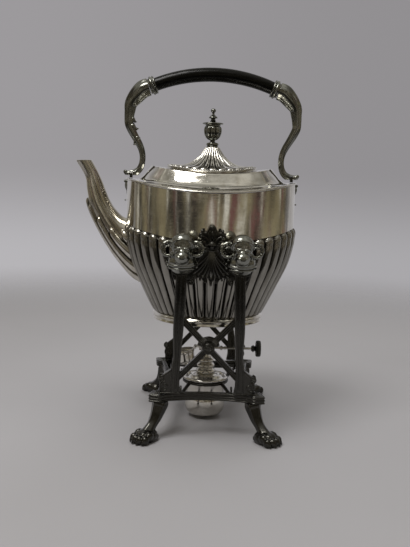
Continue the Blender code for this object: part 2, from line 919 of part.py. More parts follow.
def foot_ring_points():
    inner = FOOT_RING_RADIUS - FOOT_RING_WIDTH
    foot = BODY_FLOOR_HEIGHT - PLAY - FOOT_RING_HEIGHT
    return [(inner + across * FOOT_RING_WIDTH, foot + up * FOOT_RING_HEIGHT) for across, up in FOOT_RING_SHARES]


def spout_ring(i, inset=0.0):
    """Section i of the spout: an oval between its upper and lower edge, lobed below."""
    origin = Vector((-SPOUT_REACH, 0, BODY_FLOOR_HEIGHT + PLAY))
    reach, rise = SPOUT_SPAN_X, SPOUT_SPAN_Z
    (ux, uz), (lx, lz) = SPOUT_UPPER_SHARES[i], SPOUT_LOWER_SHARES[i]
    upper = origin + Vector((-ux * reach, 0, uz * rise))
    lower = origin + Vector((-lx * reach, 0, lz * rise))
    middle = (upper + lower) / 2
    half = (upper - lower) / 2
    half_height = half.length - inset
    half_width = SPOUT_ROOT_HALF_WIDTH * SPOUT_WIDTH_SHARES[i] - inset
    ring = []
    for k in range(SPOUT_COLUMNS):
        angle = 2 * math.pi * k / SPOUT_COLUMNS
        up, side = math.cos(angle), math.sin(angle)
        point = middle + half.normalized() * half_height * up + Vector((0, half_width * side, 0))
        if up < SPOUT_LOBE_LIMIT_SHARE and k % 2 == 0 and not inset:
            outward = (half.normalized() * up + Vector((0, side, 0))).normalized()
            point += outward * SPOUT_LOBE_RISE * SPOUT_LOBE_SHARES[i]
        ring.append(point)
    return ring


def spout():
    """The hollow spout, cut off clear of the body's lobes."""
    count = len(SPOUT_UPPER_SHARES)
    outer = [spout_ring(i) for i in reversed(range(count))]
    inner = [spout_ring(i, SPOUT_WALL) for i in range(count)]
    return loft("spout", outer + inner, looped=True)


def body_envelope():
    """A smooth solid just clear of the body's lobes, which trims what is seated on it."""
    height = BEAD_HEIGHT - BODY_FLOOR_HEIGHT
    narrowing = BODY_HALF_LENGTH - BODY_HALF_DEPTH
    clear = LOBE_RISE + 2 * PLAY
    rings = []
    top = oval(
        BODY_HALF_LENGTH + PLAY,
        BODY_HALF_DEPTH + PLAY,
        SHOULDER_HEIGHT + SHOULDER_SHEER,
        0.0,
        LINING_COLUMNS,
    )
    rings.append(top)
    for share, length, lobe in GADROON_SHARES:
        half_length = BODY_HALF_LENGTH * length + clear
        rings.append(
            oval(
                half_length,
                half_length - narrowing * share,
                BODY_FLOOR_HEIGHT + height * share,
                BEAD_SHEER * share**2,
                LINING_COLUMNS,
            )
        )
    return loft("body_envelope", rings)


def smooth_path(points, steps):
    """Points along a smooth curve through the given ones."""
    padded = [points[0], *points, points[-1]]
    path = []
    for before, start, end, after in zip(padded, padded[1:], padded[2:], padded[3:]):
        for k in range(steps):
            t = k / steps
            path.append(
                0.5
                * (
                    2 * start
                    + (end - before) * t
                    + (2 * before - 5 * start + 4 * end - after) * t**2
                    + (3 * start - before - 3 * end + after) * t**3
                )
            )
    path.append(points[-1])
    return path


def grip_bend_radius():
    return (GRIP_HALF_SPAN**2 + GRIP_RISE**2) / (2 * GRIP_RISE)


def grip_point(distance):
    """The point of the grip's arc this far from its middle, and the arc's slope angle there."""
    bend = grip_bend_radius()
    angle = distance / bend
    return Vector((bend * math.sin(angle), 0, GRIP_HEIGHT - bend * (1 - math.cos(angle)))), angle


def grip_length():
    """Half the arc's length, from its middle to where the ferrules close on it."""
    bend = grip_bend_radius()
    return bend * math.asin(GRIP_HALF_SPAN / bend)


def grip():
    half = grip_length()
    points = [grip_point(half * (2 * i / (GRIP_POINTS - 1) - 1))[0] for i in range(GRIP_POINTS)]
    return tube("grip", points, GRIP_RADIUS, resolution=3)


def ferrule_seat(side):
    """Where the mouth of a ferrule lies on the grip's arc, its slope angle and the way outwards."""
    middle, angle = grip_point(side * (grip_length() - FERRULE_SOCKET_DEPTH + PLAY))
    return middle, angle, side * Vector((math.cos(angle), 0, -math.sin(angle)))


def ferrule(side):
    """A moulded socket on the end of the arm, which holds the grip."""
    middle, angle, _ = ferrule_seat(side)
    socket = [
        (GRIP_RADIUS + PLAY, 0.0),
        (GRIP_RADIUS + PLAY, -FERRULE_SOCKET_DEPTH - PLAY),
        (0.0, -FERRULE_SOCKET_DEPTH - PLAY),
    ]
    shell = [(r, -FERRULE_LENGTH * (1 - h)) for r, h in scaled(FERRULE_SHARES, FERRULE_RADIUS, 1.0)]
    points = list(reversed(socket)) + shell + [(0.0, -FERRULE_LENGTH)]
    name = "ferrule_" + SIDE_NAMES[side]
    turn = (0, angle - side * math.pi / 2, 0)
    return turned(name, points, 16, "dark_plate", None, middle, turn)


def arm_points(side):
    points, shares = [], []
    for across, up, radius in ARM_POINT_SHARES:
        points.append(Vector((side * HINGE_HALF_SPAN * across, 0, HINGE_HEIGHT + ARM_RISE * up)))
        shares.append(radius)
    return points, shares


def arm(side):
    """One scrolled arm of the bail, slotted over its ear and bored for its pin."""
    points, shares = arm_points(side)
    mouth, _, outwards = ferrule_seat(side)
    points[0] = mouth + outwards * (FERRULE_LENGTH + PLAY)
    points[1] = points[0] + outwards * ARM_RADIUS
    name = "handle_arm_" + SIDE_NAMES[side]
    bar = tube(name, points, ARM_RADIUS, shares, resolution=1)
    spurs = []
    for across, up in SPUR_SHARES:
        at = (side * HINGE_HALF_SPAN * across, 0, HINGE_HEIGHT + ARM_RISE * up)
        spurs.append(ball("spur", (SPUR_RADIUS, SPUR_RADIUS, SPUR_RADIUS), at, 8, 6))
    half_slot = EAR_THICKNESS / 2 + PLAY
    middle = side * HINGE_HALF_SPAN
    slot = block(
        "slot",
        (middle - half_slot, -2 * ARM_RADIUS, HINGE_HEIGHT - OVERRUN - EAR_RADIUS),
        (middle + half_slot, 2 * ARM_RADIUS, HINGE_HEIGHT + EAR_RADIUS + PLAY),
    )
    bore = pin_rod("bore", side, HINGE_PIN_RADIUS + PLAY, HINGE_PIN_LENGTH + 2 * PLAY)
    return merged(name, [bar, *spurs], [slot, bore])


def pin_rod(name, side, radius, length):
    middle = side * HINGE_HALF_SPAN
    start = (middle - length / 2, 0, HINGE_HEIGHT)
    return rod(name, radius, start, (middle + length / 2, 0, HINGE_HEIGHT), 10)


def ear(side):
    """The lug on the shoulder that the arm hinges on."""
    name = "handle_lug_" + SIDE_NAMES[side]
    middle = side * HINGE_HALF_SPAN
    half = EAR_THICKNESS / 2
    foot_height = SHOULDER_HEIGHT + SHOULDER_SHEER + COLLAR_RISE * LUG_SEAT_SHARE + PLAY
    upright = rod("upright", EAR_RADIUS, (middle - half, 0, HINGE_HEIGHT), (middle + half, 0, HINGE_HEIGHT), 16)
    post = block(
        "post",
        (middle - half, -EAR_RADIUS, foot_height),
        (middle + half, EAR_RADIUS, HINGE_HEIGHT),
    )
    bore = pin_rod("bore", side, HINGE_PIN_RADIUS + PLAY, HINGE_PIN_LENGTH)
    return merged(name, [post, upright], [bore])


def leaf_drop(side):
    """The leaf that hangs on the body below the lug."""
    name = "leaf_drop_" + SIDE_NAMES[side]
    right = [(w * LEAF_DROP_WIDTH, -LEAF_DROP_LENGTH * (1 - h)) for w, h in LEAF_DROP_SHARES]
    left = [(-x, y) for x, y in reversed(right[1:])]
    mesh = plate(name, right + left, LEAF_DROP_THICKNESS, LEAF_DROP_THICKNESS / 4, upright=True)
    mesh.transform(Matrix.Rotation(math.pi / 2, 4, "Z"))
    top = SHOULDER_HEIGHT + SHOULDER_SHEER - PLAY
    reach = BODY_HALF_LENGTH * SHOULDER_LENGTH_SHARES[0] + LEAF_DROP_THICKNESS / 2 + PLAY
    mesh.transform(Matrix.Translation((side * reach, 0, top)))
    return mesh


def lid_hinge():
    """Where the lid's axis lies, the lid's leaf, the kettle's knuckles and the pin."""
    rim_top = LID_HEIGHT + LID_WALL + LID_RISE * LID_RISE_SHARES[3]
    axis = Vector((0, LID_HALF_DEPTH + LID_HINGE_REACH, rim_top + PLAY + LID_HINGE_RADIUS))
    half = LID_HINGE_WIDTH / 2
    middle = LID_HINGE_WIDTH / 6
    along = Vector((1, 0, 0))
    inner = middle - PLAY
    low = axis.z - LID_HINGE_RADIUS
    barrel = rod("barrel", LID_HINGE_RADIUS, axis - along * inner, axis + along * inner, 12)
    tongue = block(
        "tongue",
        (-inner, LID_HALF_DEPTH - LID_HINGE_REACH, low),
        (inner, axis.y, low + LID_HINGE_LEAF),
    )
    bore = rod("bore", LID_HINGE_PIN_RADIUS + PLAY, axis - along * LID_HINGE_WIDTH, axis + along * LID_HINGE_WIDTH, 10)
    lid_leaf = merged("lid_hinge_leaf", [barrel, tongue], [bore])
    seat = LID_HEIGHT
    back = axis.y + LID_HINGE_RADIUS + PLAY
    knuckles = [block("bridge", (-half, back, seat), (half, back + LID_HINGE_LEAF, axis.z))]
    for side in (-1, 1):
        left, right = sorted((side * middle, side * half))
        knuckles.append(rod("barrel", LID_HINGE_RADIUS, (left, axis.y, axis.z), (right, axis.y, axis.z), 12))
        knuckles.append(block("stand", (left, axis.y - LID_HINGE_RADIUS / 2, seat), (right, back + PLAY, axis.z)))
    fixed_leaf = merged("lid_hinge_knuckles", knuckles, [bore])
    pin = rod("lid_hinge_pin", LID_HINGE_PIN_RADIUS, axis - along * half, axis + along * half, 10)
    return axis, lid_leaf, fixed_leaf, pin


def frame_lean():
    return math.atan2(FRAME_TOP_REACH - FRAME_FOOT_REACH, PIVOT_HEIGHT - BASE_TOP_HEIGHT)


def frame_matrix():
    """The front frame's own axes in the world."""
    lean = Matrix.Rotation(frame_lean(), 4, "X")
    return Matrix.Translation((0, -FRAME_FOOT_REACH, BASE_TOP_HEIGHT)) @ lean


def leg_sides():
    foot = PLAY + FRAME_THICKNESS / 2 * math.sin(frame_lean())
    inner = [(LEG_HALF_SPAN * x, foot + LEG_HEIGHT * z) for x, z in LEG_INNER_SHARES]
    outer = [(LEG_HALF_SPAN * x, foot + LEG_HEIGHT * z) for x, z in LEG_OUTER_SHARES]
    return inner, outer


def leg(side):
    """One leg of a frame, with the scroll block at its foot."""
    inner, outer = leg_sides()
    mesh = plate("leg", inner + outer, FRAME_THICKNESS, LEG_BEVEL, upright=True)
    return mirrored(mesh, side)


def leg_clearance(side):
    """What the pieces between the legs are cut with."""
    inner, _ = leg_sides()
    edge = [(x - PLAY, z) for x, z in inner]
    top = LEG_HEIGHT + leg_sides()[0][-1][1] + PLAY
    far = LEG_HALF_SPAN * LEG_OUTER_SHARES[2][0] + OVERRUN
    points = [(edge[0][0], top), *edge[1:-1], (edge[-1][0], -OVERRUN), (far, -OVERRUN), (far, top)]
    return mirrored(plate("leg_clearance", points, FRAME_THICKNESS + 2 * OVERRUN, upright=True), side)


def brace():
    """The crossed bars between the legs, with their boss and the hood above it."""
    bars = []
    for tilt in (-BRACE_ANGLE, BRACE_ANGLE):
        bar = block(
            "bar",
            (-BRACE_LENGTH / 2, -BRACE_DEPTH / 2, -BRACE_WIDTH / 2),
            (BRACE_LENGTH / 2, BRACE_DEPTH / 2, BRACE_WIDTH / 2),
        )
        bar.transform(Matrix.Rotation(tilt, 4, "Y"))
        bars.append(bar)
    boss = rod("boss", BRACE_BOSS_RADIUS, (0, -BRACE_BOSS_DEPTH / 2, 0), (0, BRACE_BOSS_DEPTH / 2, 0), 20)
    arc = [
        Vector((BRACE_HOOD_RADIUS * math.cos(a), 0, BRACE_HOOD_RADIUS * math.sin(a)))
        for a in (math.radians(20 + 20 * k) for k in range(8))
    ]
    hood = tube("hood", arc, BRACE_HOOD_WIDTH / 2, resolution=1)
    mesh = merged("brace", [*bars, boss, hood])
    mesh.transform(Matrix.Translation((0, 0, BRACE_HEIGHT)))
    return merged("brace", [mesh], [leg_clearance(-1), leg_clearance(1)])


def bracket_foot():
    """The bracket stands on the leg tops at this share of its outline."""
    return LEG_HEIGHT + leg_sides()[0][-1][1] + PLAY - BRACKET_HEIGHT * BRACKET_SEAT_SHARE


def bracket():
    """The palmette and crown between the heads, bored for the kettle's pivot."""
    right = [(BRACKET_HALF_WIDTH * x, bracket_foot() + BRACKET_HEIGHT * z) for x, z in BRACKET_SHARES]
    left = [(-x, z) for x, z in reversed(right[1:-1])]
    mesh = plate("bracket", right + left, FRAME_THICKNESS, upright=True)
    bore = rod(
        "bore",
        PIVOT_PIN_RADIUS + PLAY,
        (0, -FRAME_TOP_REACH - FRAME_THICKNESS - OVERRUN, PIVOT_HEIGHT),
        (0, -FRAME_TOP_REACH + FRAME_THICKNESS + OVERRUN, PIVOT_HEIGHT),
        16,
    )
    bore.transform(frame_matrix().inverted())
    return merged("bracket", [mesh], [leg_clearance(-1), leg_clearance(1), bore])


def head():
    """An animal's head with curled horns, flat at the back where it meets the bracket."""
    size = HEAD_SIZE
    balls = []
    for name, at, radii, segments, rings in HEAD_BALL_SHARES:
        balls.append(ball(name, [r * size for r in radii], [a * size for a in at], segments, rings))
    for side in (-1, 1):
        x, y, z = HORN_PLACE_SHARES
        centre = Vector((side * x * size, y * size, z * size))
        loop = [
            centre + Vector((HORN_RADIUS * math.cos(a), 0, HORN_RADIUS * math.sin(a)))
            for a in (2 * math.pi * (k + 0.5) / HORN_STEPS for k in range(HORN_STEPS))
        ]
        balls.append(ring_tube("horn", loop, HORN_THICKNESS, HORN_SIDES))
    back = block(
        "back",
        (-size * 3, 0, -size * 3),
        (size * 3, size * 3, size * 3),
    )
    mesh = merged("head", balls, [back])
    return mesh


def ring_tube(name, loop, radius, sides):
    """A closed ring of round section round the Y axis of its own centre."""
    centre = sum(loop, Vector()) / len(loop)
    rings = []
    for point in loop:
        outward = (point - centre).normalized()
        rings.append(
            [
                point + radius * (outward * math.cos(a) + Vector((0, 1, 0)) * math.sin(a))
                for a in (2 * math.pi * k / sides for k in range(sides))
            ]
        )
    return loft(name, rings, looped=True)


def base():
    """The incurved frame with pointed corners that the legs stand on."""
    quarter = [(x * BASE_HALF_LENGTH, y * BASE_HALF_DEPTH) for x, y in BASE_OUTER_SHARES]
    mesh = plate("base", four_way(quarter), BASE_THICKNESS, BASE_BEVEL, holes=[base_hole(0.0)])
    return mesh


def base_hole(inset):
    return four_way([(x * BASE_HALF_LENGTH - inset, y * BASE_HALF_DEPTH - inset) for x, y in BASE_INNER_SHARES])


def four_way(quarter):
    """A loop through all four quarters from one that runs from the Y axis to the X axis."""
    first = [(max(x, 0), max(y, 0)) for x, y in quarter]
    first[0] = (0, first[0][1])
    first[-1] = (first[-1][0], 0)
    second = [(x, -y) for x, y in reversed(first[:-1])]
    third = [(-x, -y) for x, y in first[1:]]
    fourth = [(-x, y) for x, y in reversed(first[1:-1])]
    return first + second + third + fourth


def paw():
    """A lion's paw and its leg, along +X from beneath the corner, standing on z = 0."""
    reach = math.hypot(PAW_REACH_X - PAW_TOP_X, PAW_REACH_Y - PAW_TOP_Y)
    top = BASE_TOP_HEIGHT - BASE_THICKNESS - PLAY
    points = [Vector((reach * along, 0, top * up)) for along, up, _ in PAW_LEG_POINT_SHARES]
    points.insert(0, Vector((0, 0, top + OVERRUN)))
    shares = [PAW_LEG_POINT_SHARES[0][2]] + [share for _, _, share in PAW_LEG_POINT_SHARES]
    shank = tube("shank", points, PAW_LEG_RADIUS, shares, resolution=1)
    parts = [shank]
    for name, at, radii in PAW_BALL_SHARES:
        centre = [a * PAW_SIZE for a in at]
        centre[0] += reach
        parts.append(ball(name, [r * PAW_SIZE for r in radii], centre, *TOE_STEPS))
    far = PAW_SIZE * 4
    lid_cut = block("lid_cut", (-far, -far, top), (far, far, top + far))
    floor_cut = block("floor_cut", (-far, -far, -far), (far * 2, far, 0))
    return merged("paw", parts, [lid_cut, floor_cut])


def carrier():
    """The ring that holds the lamp, and its four scrolled arms to the base."""
    inner = CARRIER_RADIUS - CARRIER_WIDTH
    low, high = CARRIER_HEIGHT, CARRIER_HEIGHT + CARRIER_THICKNESS
    ring = turned("ring", [(CARRIER_RADIUS, high), (CARRIER_RADIUS, low), (inner, low), (inner, high)], 24, looped=True)
    meshes = [evaluated_mesh(ring)]
    bpy.data.objects.remove(ring)
    for side_x in (-1, 1):
        for side_y in (-1, 1):
            points = [
                Vector(
                    (
                        side_x * x * CARRIER_RADIUS,
                        side_y * y * CARRIER_RADIUS,
                        (low + high) / 2 + CARRIER_ARM_DROP * z,
                    )
                )
                for x, y, z in CARRIER_ARM_SHARES
            ]
            meshes.append(tube("arm", smooth_path(points, 2), CARRIER_ARM_RADIUS, resolution=1))
    around = [
        (side_x * BASE_HALF_LENGTH * 2, side_y * BASE_HALF_DEPTH * 2)
        for side_x, side_y in ((-1, -1), (1, -1), (1, 1), (-1, 1))
    ]
    surround = plate("surround", around, 2 * BASE_TOP_HEIGHT, holes=[base_hole(PLAY)])
    surround.transform(Matrix.Translation((0, 0, BASE_TOP_HEIGHT)))
    return merged("carrier", meshes, [surround])


def bowl_points():
    """The lamp bowl: up the inside, over the rolled rim and down the outside."""
    foot = LAMP_RIM_HEIGHT - LAMP_BOWL_DEPTH
    outer = [(LAMP_RIM_RADIUS * r, foot + LAMP_BOWL_DEPTH * h) for r, h in LAMP_BOWL_SHARES]
    inner = [(r - LAMP_WALL, max(h, foot + LAMP_WALL)) for r, h in outer]
    seat = LAMP_RIM_RADIUS - LAMP_ROLL
    ledge = [(seat, inner[0][1] + PLAY), (seat, LAMP_RIM_HEIGHT)]
    roll = [
        (LAMP_RIM_RADIUS + LAMP_ROLL * math.cos(a), LAMP_RIM_HEIGHT + LAMP_ROLL * math.sin(a))
        for a in (math.radians(150 - 42 * k) for k in range(6))
    ]
    return [(0, foot + LAMP_WALL), *reversed(inner), *ledge, *roll, *outer, (0, foot)]


def cover_points():
    outer = LAMP_RIM_RADIUS - LAMP_ROLL - PLAY
    low = LAMP_RIM_HEIGHT - LAMP_BOWL_DEPTH * (1 - LAMP_BOWL_SHARES[0][1]) + 2 * PLAY
    high = low + COVER_RISE
    ring = BURNER_RADIUS * BURNER_SHARES[-1][0]
    return [
        (COVER_HOLE_RADIUS, high + COVER_WALL),
        (ring, high + COVER_WALL),
        (outer, low + COVER_WALL),
        (outer, low),
        (ring, high),
        (COVER_HOLE_RADIUS, high),
    ]


def burner_foot():
    return cover_points()[0][1] + PLAY


def burner():
    """The ringed neck with the wick's bore, the winder's housing and the cap's hinge lugs."""
    foot = burner_foot()
    height = BURNER_TOP_HEIGHT - foot
    outer = [(BURNER_RADIUS * r, foot + height * h) for r, h in BURNER_SHARES]
    collar = COVER_HOLE_RADIUS - PLAY
    below = foot - COVER_WALL - COVER_RISE
    points = [
        (BURNER_BORE_RADIUS, BURNER_TOP_HEIGHT),
        *outer,
        (collar, foot),
        (collar, below),
        (BURNER_BORE_RADIUS, below),
    ]
    neck = turned("neck", points, BURNER_STEPS, looped=True)
    meshes = [evaluated_mesh(neck)]
    bpy.data.objects.remove(neck)
    offset = winder_offset()
    reach = WINDER_BOSS_HALF_LENGTH
    meshes.append(rod("housing", WINDER_BOSS_RADIUS, (-reach, offset, WINDER_HEIGHT), (reach, offset, WINDER_HEIGHT), 12))
    for side in (-1, 1):
        near, far = CAP_HINGE_WIDTH / 4 + PLAY, CAP_HINGE_WIDTH / 2
        lower = (-CAP_HINGE_REACH - CAP_HINGE_RADIUS, min(side * near, side * far), CAP_HINGE_HEIGHT - CAP_HINGE_RADIUS)
        upper = (-BURNER_BORE_RADIUS, max(side * near, side * far), CAP_HINGE_HEIGHT + CAP_HINGE_RADIUS)
        meshes.append(block("lug", lower, upper))
    half = SPROCKET_THICKNESS / 2 + PLAY
    clear = SPROCKET_RADIUS + PLAY
    cuts = [
        block("chamber", (-half, 0, WINDER_HEIGHT - clear), (half, offset + clear, WINDER_HEIGHT + clear)),
        rod("shaft_bore", WINDER_RADIUS + PLAY, (half - SPROCKET_THICKNESS, offset, WINDER_HEIGHT), (reach + OVERRUN, offset, WINDER_HEIGHT), 10),
        rod(
            "pin_bore",
            CAP_HINGE_PIN_RADIUS + PLAY,
            (-CAP_HINGE_REACH, -CAP_HINGE_WIDTH, CAP_HINGE_HEIGHT),
            (-CAP_HINGE_REACH, CAP_HINGE_WIDTH, CAP_HINGE_HEIGHT),
            8,
        ),
        rod("wick_bore", BURNER_BORE_RADIUS, (0, 0, below), (0, 0, BURNER_TOP_HEIGHT + OVERRUN), BURNER_STEPS),
    ]
    return merged("burner", meshes, cuts)


def winder_offset():
    return WICK_RADIUS + PLAY + SPROCKET_RADIUS


def snuffer_cap():
    """The cap in its closed place, seen from its hinge: a deep cup with a barrel at its rim."""
    outer = [(CAP_RADIUS * r, CAP_HEIGHT * h) for r, h in CAP_SHARES]
    inner = [(r - CAP_WALL, min(h, CAP_HEIGHT - CAP_WALL)) for r, h in outer[1:]]
    points = outer + list(reversed(inner)) + [(0, CAP_HEIGHT - CAP_WALL)]
    cup = turned("cup", points, CAP_STEPS)
    mesh = evaluated_mesh(cup)
    bpy.data.objects.remove(cup)
    mesh.transform(Matrix.Translation((CAP_HINGE_REACH, 0, CAP_MOUTH_RISE)))
    half = CAP_HINGE_WIDTH / 4
    barrel = rod("barrel", CAP_HINGE_RADIUS, (0, -half, 0), (0, half, 0), 10)
    tongue = block(
        "tongue",
        (-CAP_HINGE_RADIUS / 2, -half, 0),
        (CAP_HINGE_REACH - CAP_RADIUS + CAP_WALL / 2, half, CAP_MOUTH_RISE + CAP_HINGE_RADIUS),
    )
    bore = rod("bore", CAP_HINGE_PIN_RADIUS + PLAY, (0, -CAP_HINGE_WIDTH, 0), (0, CAP_HINGE_WIDTH, 0), 8)
    return merged("snuffer_cap", [mesh, barrel, tongue], [bore])


def build_kettle(root):
    """The kettle, on the joint that its pivots make."""
    kettle = joint("kettle_tilt", (0, 0, PIVOT_HEIGHT), root)
    hang(place("kettle_body", kettle_body(), "silver_plate"), kettle)
    hang(place("shoulder", shoulder(), "silver_plate"), kettle)
    hang(turned("foot_ring", foot_ring_points(), FOOT_RING_STEPS, "silver_plate", looped=True), kettle)
    spout_mesh = merged("spout", [spout()], [body_envelope()])
    hang(place("spout", spout_mesh, "silver_plate"), kettle)
    for side in (-1, 1):
        hang(place("handle_lug_" + SIDE_NAMES[side], ear(side), "dark_plate"), kettle)
        hang(place("leaf_drop_" + SIDE_NAMES[side], leaf_drop(side), "dark_plate"), kettle)
        hang(place("pivot_boss_" + ("front" if side < 0 else "back"), pivot_boss(side), "dark_plate"), kettle)
    build_lid(kettle)
    build_handle(kettle)


def pivot_boss(side):
    """The boss on the kettle's side that turns on the pivot pin."""
    near = boss_seat()
    far = near + KETTLE_BOSS_LENGTH
    boss = rod("boss", KETTLE_BOSS_RADIUS, (0, side * near, PIVOT_HEIGHT), (0, side * far, PIVOT_HEIGHT), 20)
    bore = rod(
        "bore",
        PIVOT_PIN_RADIUS + PLAY,
        (0, side * (near + BODY_WALL / 2), PIVOT_HEIGHT),
        (0, side * (far + OVERRUN), PIVOT_HEIGHT),
        16,
    )
    return merged("pivot_boss", [boss], [bore])


def boss_seat():
    return BODY_HALF_DEPTH + LOBE_RISE * GADROON_SHARES[2][2] + PLAY


def pivot_pin(side):
    """A pin through the bracket into the boss, with a turned head in front."""
    face = FRAME_TOP_REACH + (FRAME_THICKNESS / 2) / math.cos(frame_lean()) + PIVOT_HEAD_RADIUS * math.tan(frame_lean())
    head = face + PLAY
    inner = boss_seat() + BODY_WALL / 2 + PLAY
    shank = rod("shank", PIVOT_PIN_RADIUS, (0, side * inner, PIVOT_HEIGHT), (0, side * (head + PIVOT_HEAD_LENGTH / 2), PIVOT_HEIGHT), 16)
    knob = ball(
        "knob",
        (PIVOT_HEAD_RADIUS, PIVOT_HEAD_LENGTH, PIVOT_HEAD_RADIUS),
        (0, side * head, PIVOT_HEIGHT),
        16,
        10,
    )
    back = block(
        "back",
        (-PIVOT_HEAD_RADIUS * 2, min(side * head, side * inner), PIVOT_HEIGHT - PIVOT_HEAD_RADIUS * 2),
        (PIVOT_HEAD_RADIUS * 2, max(side * head, side * inner), PIVOT_HEIGHT + PIVOT_HEAD_RADIUS * 2),
    )
    cap = merged("cap", [knob], [back])
    return merged("pivot_pin", [shank, cap])


def build_lid(kettle):
    axis, lid_leaf, fixed_leaf, pin = lid_hinge()
    hinge = joint("lid_hinge", axis, kettle)
    hang(place("lid", lid(), "silver_plate"), hinge)
    hang(place("lid_bezel", lid_bezel(), "silver_plate"), hinge)
    top = LID_HEIGHT + LID_RISE + LID_SHEER
    stud = [(FINIAL_STUD_RADIUS, PLAY), (FINIAL_STUD_RADIUS, -FINIAL_STUD_LENGTH), (0, -FINIAL_STUD_LENGTH)]
    urn = [(FINIAL_RADIUS * r, PLAY + FINIAL_HEIGHT * h) for r, h in FINIAL_SHARES]
    hang(turned("finial", urn + stud, FINIAL_STEPS, "dark_plate", at=(0, 0, top)), hinge)
    nut_top = top - LID_WALL - PLAY
    nut = [
        (FINIAL_STUD_RADIUS + PLAY, 0),
        (FINIAL_NUT_RADIUS, 0),
        (FINIAL_NUT_RADIUS, -FINIAL_NUT_HEIGHT),
        (FINIAL_STUD_RADIUS + PLAY, -FINIAL_NUT_HEIGHT),
    ]
    hang(turned("finial_nut", nut, 6, "dark_plate", at=(0, 0, nut_top), looped=True), hinge)
    hang(place("lid_hinge_leaf", lid_leaf, "silver_plate"), hinge)
    hang(place("lid_hinge_knuckles", fixed_leaf, "silver_plate"), kettle)
    hang(place("lid_hinge_pin", pin, "silver_plate"), kettle)


def build_handle(kettle):
    swing = joint("handle_swing", (0, 0, HINGE_HEIGHT), kettle)
    hang(place("grip", grip(), "ebony"), swing)
    for side in (-1, 1):
        hang(ferrule(side), swing)
        hang(place("handle_arm_" + SIDE_NAMES[side], arm(side), "dark_plate"), swing)
        pin = pin_rod("handle_pin", side, HINGE_PIN_RADIUS, HINGE_PIN_LENGTH)
        hang(place("handle_pin_" + SIDE_NAMES[side], pin, "dark_plate"), swing)


def build_stand(root):
    """Two frames, the base, its feet and the lamp's carrier."""
    bracket_mesh, brace_mesh, head_mesh, paw_mesh = bracket(), brace(), head(), paw()
    leg_meshes = {side: leg(side) for side in (-1, 1)}
    for end, turn in (("front", 0.0), ("back", math.pi)):
        frame = place(end + "_frame", None, parent=root)
        frame.matrix_world = Matrix.Rotation(turn, 4, "Z") @ frame_matrix()
        flip = 1 if end == "front" else -1
        for side in (-1, 1):
            name = end + "_leg_" + SIDE_NAMES[side * flip]
            place(name, leg_meshes[side], "dark_plate", frame)
            name = end + "_head_" + SIDE_NAMES[side * flip]
            at = (side * HEAD_HALF_SPAN, -FRAME_THICKNESS / 2 - PLAY, HEAD_HEIGHT)
            place(name, head_mesh, "dark_plate", frame, at)
        place(end + "_bracket", bracket_mesh, "dark_plate", frame)
        place(end + "_brace", brace_mesh, "dark_plate", frame)
    for side in (-1, 1):
        hang(place("pivot_pin_" + ("front" if side < 0 else "back"), pivot_pin(side), "dark_plate"), root)
    place("base", base(), "dark_plate", root, at=(0, 0, BASE_TOP_HEIGHT - BASE_THICKNESS / 2))
    aim = math.atan2(PAW_REACH_Y - PAW_TOP_Y, PAW_REACH_X - PAW_TOP_X)
    for side_y, end in ((-1, "front"), (1, "back")):
        for side_x in (-1, 1):
            turn = side_y * (aim if side_x > 0 else math.pi - aim)
            at = (side_x * PAW_TOP_X, side_y * PAW_TOP_Y, 0)
            place(f"{end}_paw_{SIDE_NAMES[side_x]}", paw_mesh, "dark_plate", root, at, (0, 0, turn))
    place("lamp_carrier", carrier(), "dark_plate", root)


def build_lamp(root):
    """The spirit lamp, with its wick, winder and snuffer."""
    lift = joint("lamp_lift", (0, 0, LAMP_RIM_HEIGHT), root)
    hang(turned("lamp_bowl", bowl_points(), LAMP_STEPS, "lamp_plate"), lift)
    hang(turned("lamp_cover", cover_points(), LAMP_STEPS, "lamp_plate", looped=True), lift)
    hang(place("burner", burner(), "lamp_plate"), lift)
    slide = joint("wick_slide", (0, 0, BURNER_TOP_HEIGHT), lift)
    top = BURNER_TOP_HEIGHT + WICK_STAND
    hang(place("wick", rod("wick", WICK_RADIUS, (0, 0, WICK_FOOT_HEIGHT), (0, 0, top), 16), "wick_cotton"), slide)
    axis = (0, winder_offset(), WINDER_HEIGHT)
    winder = joint("winder_turn", axis, lift)
    half = SPROCKET_THICKNESS / 2
    shaft = rod("winder_shaft", WINDER_RADIUS, (half + PLAY, *axis[1:]), (WINDER_END - PLAY, *axis[1:]), 12)
    hang(place("winder_shaft", shaft, "lamp_plate"), winder)
    wheel = rod("winder_sprocket", SPROCKET_RADIUS, (-half, *axis[1:]), (half, *axis[1:]), 12)
    hang(place("winder_sprocket", wheel, "lamp_plate"), winder)
    knob_points = [(KNOB_RADIUS * r, KNOB_LENGTH * h) for r, h in KNOB_SHARES]
    knob_at = (WINDER_END, *axis[1:])
    hang(turned("winder_knob", knob_points, 20, "dark_plate", at=knob_at, turn=(0, math.pi / 2, 0)), winder)
    cap_axis = (-CAP_HINGE_REACH, 0, CAP_HINGE_HEIGHT)
    cap_joint = joint("cap_hinge", cap_axis, lift)
    cap = place("snuffer_cap", snuffer_cap(), "lamp_plate", at=cap_axis, turn=(0, -CAP_OPEN_ANGLE, 0))
    hang(cap, cap_joint)
    ends = [(-CAP_HINGE_REACH, side * CAP_HINGE_WIDTH / 2, CAP_HINGE_HEIGHT) for side in (-1, 1)]
    hang(place("cap_hinge_pin", rod("cap_hinge_pin", CAP_HINGE_PIN_RADIUS, *ends, 8), "lamp_plate"), lift)


